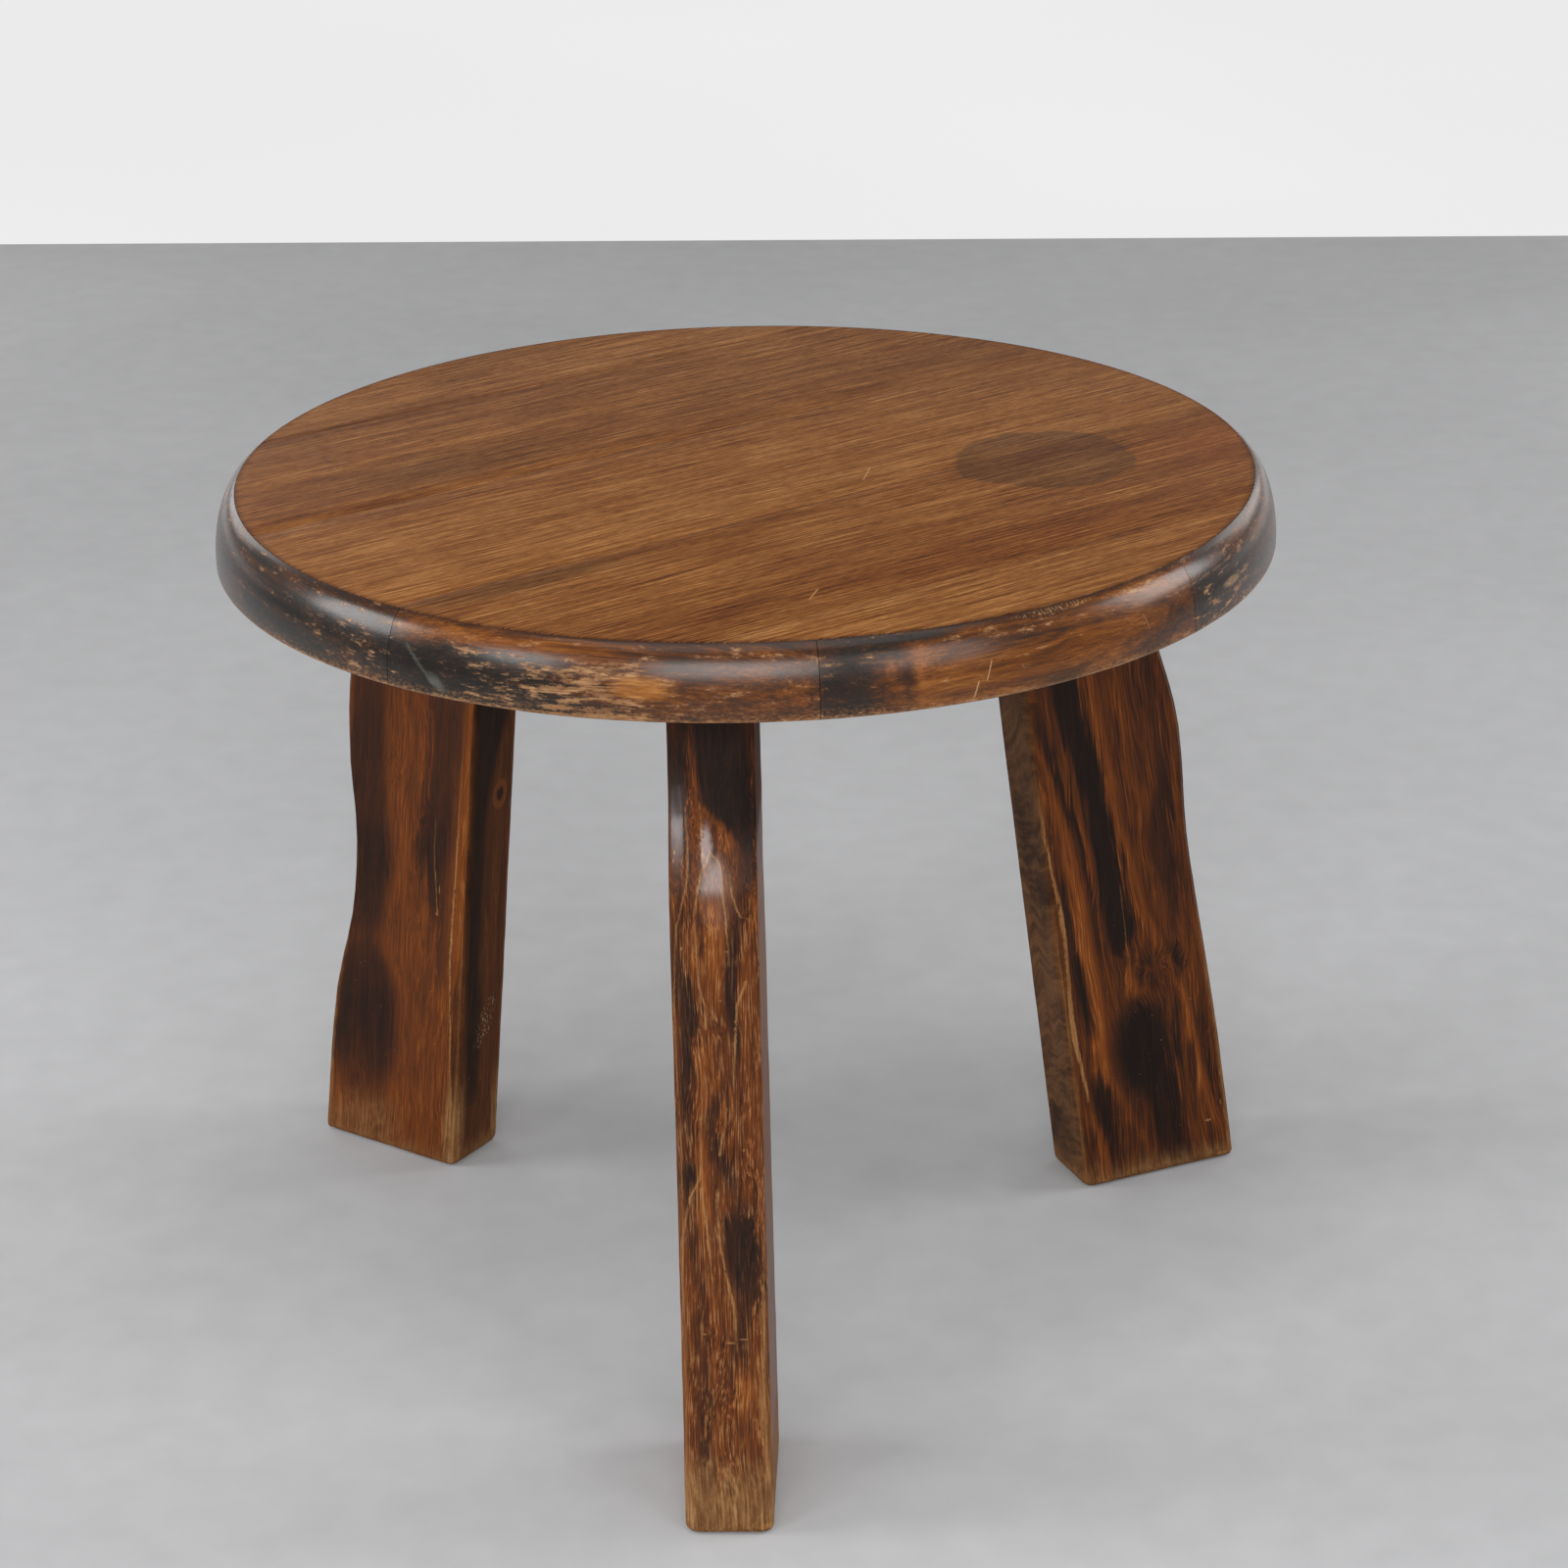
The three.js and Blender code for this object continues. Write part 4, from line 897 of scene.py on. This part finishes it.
# Start of the nodes' names; the wood's name, dark, middle and light colours, grain size and gloss
HIDDEN_WOODS = {
    "core_panel": ("core_wood", (120, 86, 54), (170, 130, 86), (198, 160, 112), (160, 9, 9), 0.75),
    "backing_veneer": ("underside_veneer", (72, 44, 26), (112, 74, 44), (140, 98, 62), (260, 7, 7), 0.6),
    ("rim_tongue", "dowel"): (
        "joinery_beech", (168, 124, 80), (204, 162, 112), (224, 188, 142), (40, 3, 3), 0.6),
}


def make_plain_wood(name, dark, middle, light, grain_size, gloss):
    """Wood that mostly stays out of sight: straight grain, pores and a little soiling."""
    wood = Finish(name)
    place = wood.place(AXIS, GRAIN_AZIMUTH)
    bands = wood.noise(place, grain_size, detail=4, roughness=0.6)
    threads = wood.noise(place, [side / 6 for side in grain_size], detail=2)
    soil = wood.noise(place, (80, 60, 40), detail=4, roughness=0.6)
    pores = wood.ease(wood.noise(place, [side / 9 for side in grain_size], detail=1), 0.62, 0.72)
    tone = 0.5 + bands.swing(0.9) + threads.swing(0.3) + soil.swing(0.4)
    colour = wood.tones(tone, [(0.15, *dark), (0.5, *middle), (0.85, *light)])
    colour = wood.mix(pores * 0.35, colour, seen(*dark))
    return wood.finish(colour, gloss + soil.swing(0.2), bands * 0.4 + threads * 0.4 - pores * 0.6, 0.08)


def make_floor():
    floor = Finish("studio_floor")
    place = floor.place()
    clouds = floor.noise(place, (900, 900, 900), detail=3)
    grit = floor.noise(place, (30, 30, 30), detail=3)
    colour = floor.tones(clouds * 0.7 + grit * 0.3, [(0.3, 176, 177, 179), (0.7, 194, 195, 197)])
    return floor.finish(colour, 0.7 + grit.swing(0.1), grit, 0.1)


def make_backdrop():
    """Pale paper that is white where the camera or a glossy surface sees it."""
    paper = Finish("studio_backdrop")
    looked_at = (
        paper.node("ShaderNodeLightPath", output="Is Camera Ray")
        + paper.node("ShaderNodeLightPath", output="Is Glossy Ray")
        + paper.node("ShaderNodeLightPath", output="Is Transmission Ray")
    ).at_most(1)
    fibre = paper.noise(paper.place(), (2000, 2000, 2000))
    colour = paper.ramp(fibre, [(0.3, (0.80, 0.80, 0.80, 1)), (0.7, (0.84, 0.84, 0.84, 1))])
    black = (0, 0, 0, 1)
    glow = paper.mix(looked_at, black, colour)
    return paper.finish(paper.mix(looked_at, colour, black), 0.8, 0.0, 0.0, glow=glow)


# The shaping of the pieces

def new_primitive(name, add, **settings):
    bpy.ops.object.select_all(action="DESELECT")
    add(**settings)
    piece = bpy.context.active_object
    piece.name = piece.data.name = name
    return piece


def lay_plane(name, middle, size, material):
    """A flat sheet of the studio."""
    plane = new_primitive(name, bpy.ops.mesh.primitive_plane_add, size=1)
    plane.data.transform(Matrix.Translation(middle) @ Matrix.Diagonal((*size, 1, 1)))
    plane.data.materials.append(material)
    return plane


def open_mesh(piece):
    """Opens the piece for shaping and gives its mesh."""
    bpy.context.view_layer.objects.active = piece
    bpy.ops.object.mode_set(mode="EDIT")
    return bmesh.from_edit_mesh(piece.data)


def close_mesh():
    bpy.ops.object.mode_set(mode="OBJECT")


def select_points(piece, wanted):
    """Selects in edit mode only the points for which wanted(place) holds."""
    mesh = bmesh.from_edit_mesh(piece.data)
    bpy.context.tool_settings.mesh_select_mode = (True, False, False)
    for point in mesh.verts:
        point.select = wanted(point.co)
    mesh.select_flush_mode()
    mesh.select_flush(True)
    bmesh.update_edit_mesh(piece.data)


def select_edges(piece, wanted):
    """Selects in edit mode only the edges for which wanted(first end, second end) holds."""
    mesh = bmesh.from_edit_mesh(piece.data)
    bpy.ops.mesh.select_all(action="DESELECT")
    bpy.context.tool_settings.mesh_select_mode = (False, True, False)
    for edge in mesh.edges:
        edge.select_set(wanted(edge.verts[0].co, edge.verts[1].co))
    bmesh.update_edit_mesh(piece.data)


def face_outward(piece):
    """Merges doubled points and turns all faces outward, in edit mode."""
    bpy.context.tool_settings.mesh_select_mode = (True, False, False)
    bpy.ops.mesh.select_all(action="SELECT")
    bpy.ops.mesh.remove_doubles(threshold=SAME_POINT)
    bpy.ops.mesh.normals_make_consistent(inside=False)
    if bmesh.from_edit_mesh(piece.data).calc_volume(signed=True) < 0:
        bpy.ops.mesh.flip_normals()


def apply_all(piece):
    """Applies the piece's modifiers, with the piece alone selected."""
    bpy.ops.object.select_all(action="DESELECT")
    piece.select_set(True)
    bpy.context.view_layer.objects.active = piece
    for modifier in list(piece.modifiers):
        bpy.ops.object.modifier_apply(modifier=modifier.name)


def settle(piece, smooth_angle):
    """Puts the piece's place into its mesh and shades it smoothly but for sharp edges."""
    bpy.ops.object.select_all(action="DESELECT")
    piece.select_set(True)
    bpy.context.view_layer.objects.active = piece
    bpy.ops.object.transform_apply(location=True, rotation=True, scale=True)
    bpy.ops.object.shade_smooth_by_angle(angle=math.radians(smooth_angle))


def add_wear(piece, name, spot, depth):
    """Sinks the surface by up to a depth, in soft dents of a given size."""
    dents = bpy.data.textures.new(name, "CLOUDS")
    dents.noise_scale = spot
    dents.noise_depth = 2
    sink = piece.modifiers.new(name, "DISPLACE")
    sink.texture = dents
    sink.texture_coords = "LOCAL"
    sink.mid_level = 1.0
    sink.strength = depth


def dress(piece, material, node):
    """Gives a finished piece its finish and its body, and hides the node that it stands for."""
    piece.data.materials.clear()
    piece.data.materials.append(material)
    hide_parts(node)
    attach(piece, "root")


def cut_leaf(number):
    """One leaf of the face veneer: a thin disc cut off at the seams beside it."""
    leaf = new_primitive(
        f"veneer_leaf_{number}", bpy.ops.mesh.primitive_cylinder_add, vertices=288, radius=VENEER_RADIUS,
        depth=VENEER_THICKNESS, location=AXIS + Vector((0, 0, TABLE_HEIGHT - VENEER_THICKNESS / 2)))
    across = Vector((-math.sin(GRAIN_AZIMUTH), math.cos(GRAIN_AZIMUTH), 0))
    cuts = []
    if number > 1:
        cuts.append((SEAMS[number - 2] + GLUE_LINE / 2, -across))
    if number < 5:
        cuts.append((SEAMS[number - 1] - GLUE_LINE / 2, across))
    open_mesh(leaf)
    for place, normal in cuts:
        bpy.ops.mesh.select_all(action="SELECT")
        bpy.ops.mesh.bisect(plane_co=AXIS + across * place, plane_no=normal, use_fill=True, clear_outer=True)
    upper_side = TABLE_HEIGHT - leaf.location.z - SLIVER
    bpy.ops.mesh.select_all(action="SELECT")
    bpy.ops.mesh.remove_doubles(threshold=SLIVER)
    select_edges(leaf, lambda a, b: a.z > upper_side and b.z > upper_side)
    bpy.ops.mesh.bevel(offset=LEAF_ARRIS, segments=2)
    close_mesh()
    settle(leaf, smooth_angle=35)
    return leaf


def rim_section():
    """Radius and height around the section, from the lip by the veneer down the bullnose and back inside."""
    centre, shoulder = TOP_RADIUS - ROUNDOVER_REACH, TABLE_HEIGHT - ROUNDOVER_DROP
    lip = VENEER_RADIUS + LIP_ROOM
    start = math.acos((lip - centre) / ROUNDOVER_REACH)
    section = []
    for k in range(ROUNDOVER_STEPS + 1):
        angle = start * (1 - k / ROUNDOVER_STEPS)
        radius = centre + ROUNDOVER_REACH * math.cos(angle)
        section.append((radius, shoulder + ROUNDOVER_DROP * math.sin(angle)))
    for k in range(LOWER_ARRIS_STEPS + 1):
        angle = math.pi / 2 * k / LOWER_ARRIS_STEPS
        radius = TOP_RADIUS - LOWER_ARRIS * (1 - math.cos(angle))
        section.append((radius, UNDERSIDE + LOWER_ARRIS * (1 - math.sin(angle))))
    middle = (TABLE_HEIGHT + UNDERSIDE) / 2
    groove_low, groove_high = middle - GROOVE_HALF_HEIGHT, middle + GROOVE_HALF_HEIGHT
    inner, groove = RIM_INNER_RADIUS, RIM_INNER_RADIUS + GROOVE_DEPTH
    land = TABLE_HEIGHT - VENEER_THICKNESS - GLUE_LINE
    return section + [(inner, UNDERSIDE), (inner, groove_low), (groove, groove_low), (groove, groove_high),
                      (inner, groove_high), (inner, land), (lip, land)]


def sweep_rim_segment():
    """The first segment of the rim: its section drawn point by point, filled, and spun about the axis."""
    section = rim_section()
    trim = SEGMENT_TRIM / RIM_INNER_RADIUS
    start = math.radians(FIRST_JOINT) + trim
    toward = Vector((math.cos(start), math.sin(start), 0))
    points = [AXIS + toward * r + Vector((0, 0, z)) for r, z in section]
    rim = new_primitive("rim_1", bpy.ops.mesh.primitive_plane_add, size=MM, location=points[0])
    open_mesh(rim)
    bpy.context.tool_settings.mesh_select_mode = (True, False, False)
    bpy.ops.mesh.select_all(action="SELECT")
    bpy.ops.mesh.merge(type="CENTER")
    for here, there in zip(points, points[1:]):
        bpy.ops.mesh.extrude_region_move(TRANSFORM_OT_translate={"value": there - here})
    bpy.ops.mesh.select_all(action="SELECT")
    bpy.ops.mesh.edge_face_add()
    bpy.ops.mesh.spin(steps=RIM_STEPS, angle=-(math.radians(SEGMENT) - 2 * trim), center=AXIS, axis=(0, 0, 1))
    face_outward(rim)
    close_mesh()
    settle(rim, smooth_angle=32)
    return rim


def copy_rim_segment(first, number):
    """The first segment again, turned to its own place round the top."""
    segment = first.copy()
    segment.data = first.data.copy()
    segment.name = segment.data.name = f"rim_{number}"
    bpy.context.scene.collection.objects.link(segment)
    turn = Matrix.Rotation(math.radians(SEGMENT * (number - 1)), 4, "Z")
    segment.data.transform(Matrix.Translation(AXIS) @ turn @ Matrix.Translation(-AXIS))
    return segment


def smooth_through(points, at):
    """A value on a smooth curve through the points (place, value), the curve that the frame's legs have."""
    after = next(k for k, (place, _) in enumerate(points) if place >= at)
    k = max(after, 1)
    (h0, w0), (h1, w1) = points[k - 1], points[k]
    before, beyond = points[max(k - 2, 0)], points[min(k + 1, len(points) - 1)]
    slope_in = (w1 - before[1]) / (h1 - before[0])
    slope_out = (beyond[1] - w0) / (beyond[0] - h0)
    t = (at - h0) / (h1 - h0)
    rise = (w1 - w0) * t * t * (3 - 2 * t)
    return w0 + rise + (h1 - h0) * t * (1 - t) * (slope_in * (1 - t) - slope_out * t)


def between(points, at):
    """Each of a row's values at a place between the rows."""
    for low, high in zip(points, points[1:]):
        if at <= high[0]:
            t = (at - low[0]) / (high[0] - low[0])
            return [a + (b - a) * t for a, b in zip(low[1:], high[1:])]
    return list(points[-1][1:])


def leg_section(leg, share):
    """Eighteen points around a leg at a share of its height, in mm along its azimuth and sideways."""
    inner = leg["reach"] - leg["width"] - leg["lean"] * share
    outer = inner + leg["width"] * smooth_through(leg["edge"], share)
    half = (FOOT_THICKNESS + (LEG_TOP_THICKNESS - FOOT_THICKNESS) * share) / 2
    step = leg["sidestep"][0] + (leg["sidestep"][1] - leg["sidestep"][0]) * share
    left_along, left_in, right_along, right_in = between(leg["facets"], share * LEG_TOP / MM)
    corner = LEG_ARRIS * (1 - math.sqrt(0.5))
    middle = (inner + outer) / 2
    face_points = [middle + (outer - inner) / 5, middle - (outer - inner) / 6]

    def side_points(sign, along, into):
        """One wide face with its hewn facet and its inner arris, from the outer face inward."""
        return [
            (outer, step + sign * (half - along)), (outer - into * 0.3, step + sign * (half - along / 2)),
            (outer - into, step + sign * half), *((x, step + sign * half) for x in face_points),
            (inner + LEG_ARRIS, step + sign * half), (inner + corner, step + sign * (half - corner)),
            (inner, step + sign * (half - LEG_ARRIS)),
        ]

    return [
        *side_points(1, right_along, right_in), (inner, step), *reversed(side_points(-1, left_along, left_in)),
        (outer, step),
    ]


def carve_leg(name):
    """A leg grown ring by ring from its foot, with softened edges, a planed surface and a flat foot."""
    leg = LEGS[name]
    shares = [k / RING_COUNT for k in range(RING_COUNT + 1)]
    sections = [leg_section(leg, share) for share in shares]
    piece = new_primitive(f"slab_leg_{name}", bpy.ops.mesh.primitive_circle_add, vertices=len(sections[0]),
                          radius=0.05, fill_type="NGON")
    mesh = open_mesh(piece)
    mesh.verts.ensure_lookup_table()
    for point, (x, y) in zip(mesh.verts, sections[0]):
        point.co = Vector((x, y, 0)) * MM
    bmesh.update_edit_mesh(piece.data)
    for share, here, there in zip(shares[1:], sections, sections[1:]):
        bpy.ops.mesh.select_all(action="DESELECT")
        height = (share - 1 / RING_COUNT) * LEG_TOP
        select_points(piece, lambda place: abs(place.z - height) < SAME_HEIGHT)
        bpy.ops.mesh.extrude_region_move(TRANSFORM_OT_translate={"value": (0, 0, LEG_TOP / RING_COUNT)})
        ring = [point for point in bmesh.from_edit_mesh(piece.data).verts if point.select]
        for (x0, y0), (x1, y1) in zip(here, there):
            nearest = min(ring, key=lambda point: (point.co.x - x0 * MM) ** 2 + (point.co.y - y0 * MM) ** 2)
            nearest.co.x, nearest.co.y = x1 * MM, y1 * MM
            ring.remove(nearest)
        bmesh.update_edit_mesh(piece.data)
    face_outward(piece)
    select_edges(piece, lambda a, b: a.z < SAME_HEIGHT and b.z < SAME_HEIGHT)
    bpy.ops.mesh.bevel(offset=FOOT_ROUNDING, segments=5)
    close_mesh()
    soften = piece.modifiers.new("soften", "BEVEL")
    soften.width = SOFT_EDGE
    soften.segments = 2
    soften.limit_method = "ANGLE"
    soften.angle_limit = math.radians(8)
    finer = piece.modifiers.new("finer", "SUBSURF")
    finer.subdivision_type = "SIMPLE"
    finer.levels = finer.render_levels = 2
    add_wear(piece, f"planing_{name}", *LEG_PLANING)
    add_wear(piece, f"dents_{name}", *LEG_DENTS)
    apply_all(piece)
    mesh = open_mesh(piece)
    for point in mesh.verts:
        point.co.z = max(point.co.z, FLOOR_ROOM)
    bmesh.update_edit_mesh(piece.data)
    close_mesh()
    piece.matrix_world = Matrix.Translation(AXIS) @ Matrix.Rotation(math.radians(leg["azimuth"]), 4, "Z")
    settle(piece, smooth_angle=40)
    return piece


def bore_dowel_holes(piece, name):
    """Cuts the leg's dowel holes where the frame's dowels stand."""
    for place in ("inner", "middle", "outer"):
        low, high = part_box(f"dowel_{name}_{place}")
        middle = (low + high) / 2
        drill = new_primitive("drill", bpy.ops.mesh.primitive_cylinder_add, vertices=32,
                              radius=(high.x - low.x) / 2 + DOWEL_ROOM, depth=2 * DOWEL_DEPTH,
                              location=(middle.x, middle.y, UNDERSIDE))
        hole = piece.modifiers.new("hole", "BOOLEAN")
        hole.operation = "DIFFERENCE"
        hole.solver = "MANIFOLD"
        hole.object = drill
        apply_all(piece)
        bpy.data.objects.remove(drill)


# The picture

set_camera()

floor = lay_plane("floor", FLOOR_MIDDLE, FLOOR_SIZE, make_floor())
backdrop = lay_plane("backdrop", BACKDROP_MIDDLE, BACKDROP_SIZE, make_backdrop())

world = bpy.data.worlds.new("studio")
bpy.context.scene.world = world
world.use_nodes = True
sky = world.node_tree.nodes["Background"].inputs
sky["Color"].default_value = SKY_COLOUR
sky["Strength"].default_value = SKY_BRIGHTNESS
for lamp in LAMPS:
    add_lamp(*lamp)
bpy.context.scene.view_settings.view_transform = "Standard"

face_veneer = make_face_veneer()
for k, node in enumerate(LEAF_NODES, start=1):
    dress(cut_leaf(k), face_veneer, node)

rim_wood = make_rim_wood()
first_segment = sweep_rim_segment()
segments = [first_segment] + [copy_rim_segment(first_segment, k) for k in range(2, 9)]
for segment, node in zip(segments, RIM_NODES):
    add_wear(segment, f"wear_{segment.name}", *RIM_DENTS)
    apply_all(segment)
    dress(segment, rim_wood, node)

for name in LEG_NAMES:
    leg_piece = carve_leg(name)
    bore_dowel_holes(leg_piece, name)
    dress(leg_piece, make_leg_wood(name), f"leg_{name}")

hidden_woods = {start: make_plain_wood(*wood) for start, wood in HIDDEN_WOODS.items()}
for node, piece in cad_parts.items():
    for start, wood in hidden_woods.items():
        if node.startswith(start):
            piece.material_slots[0].material = wood
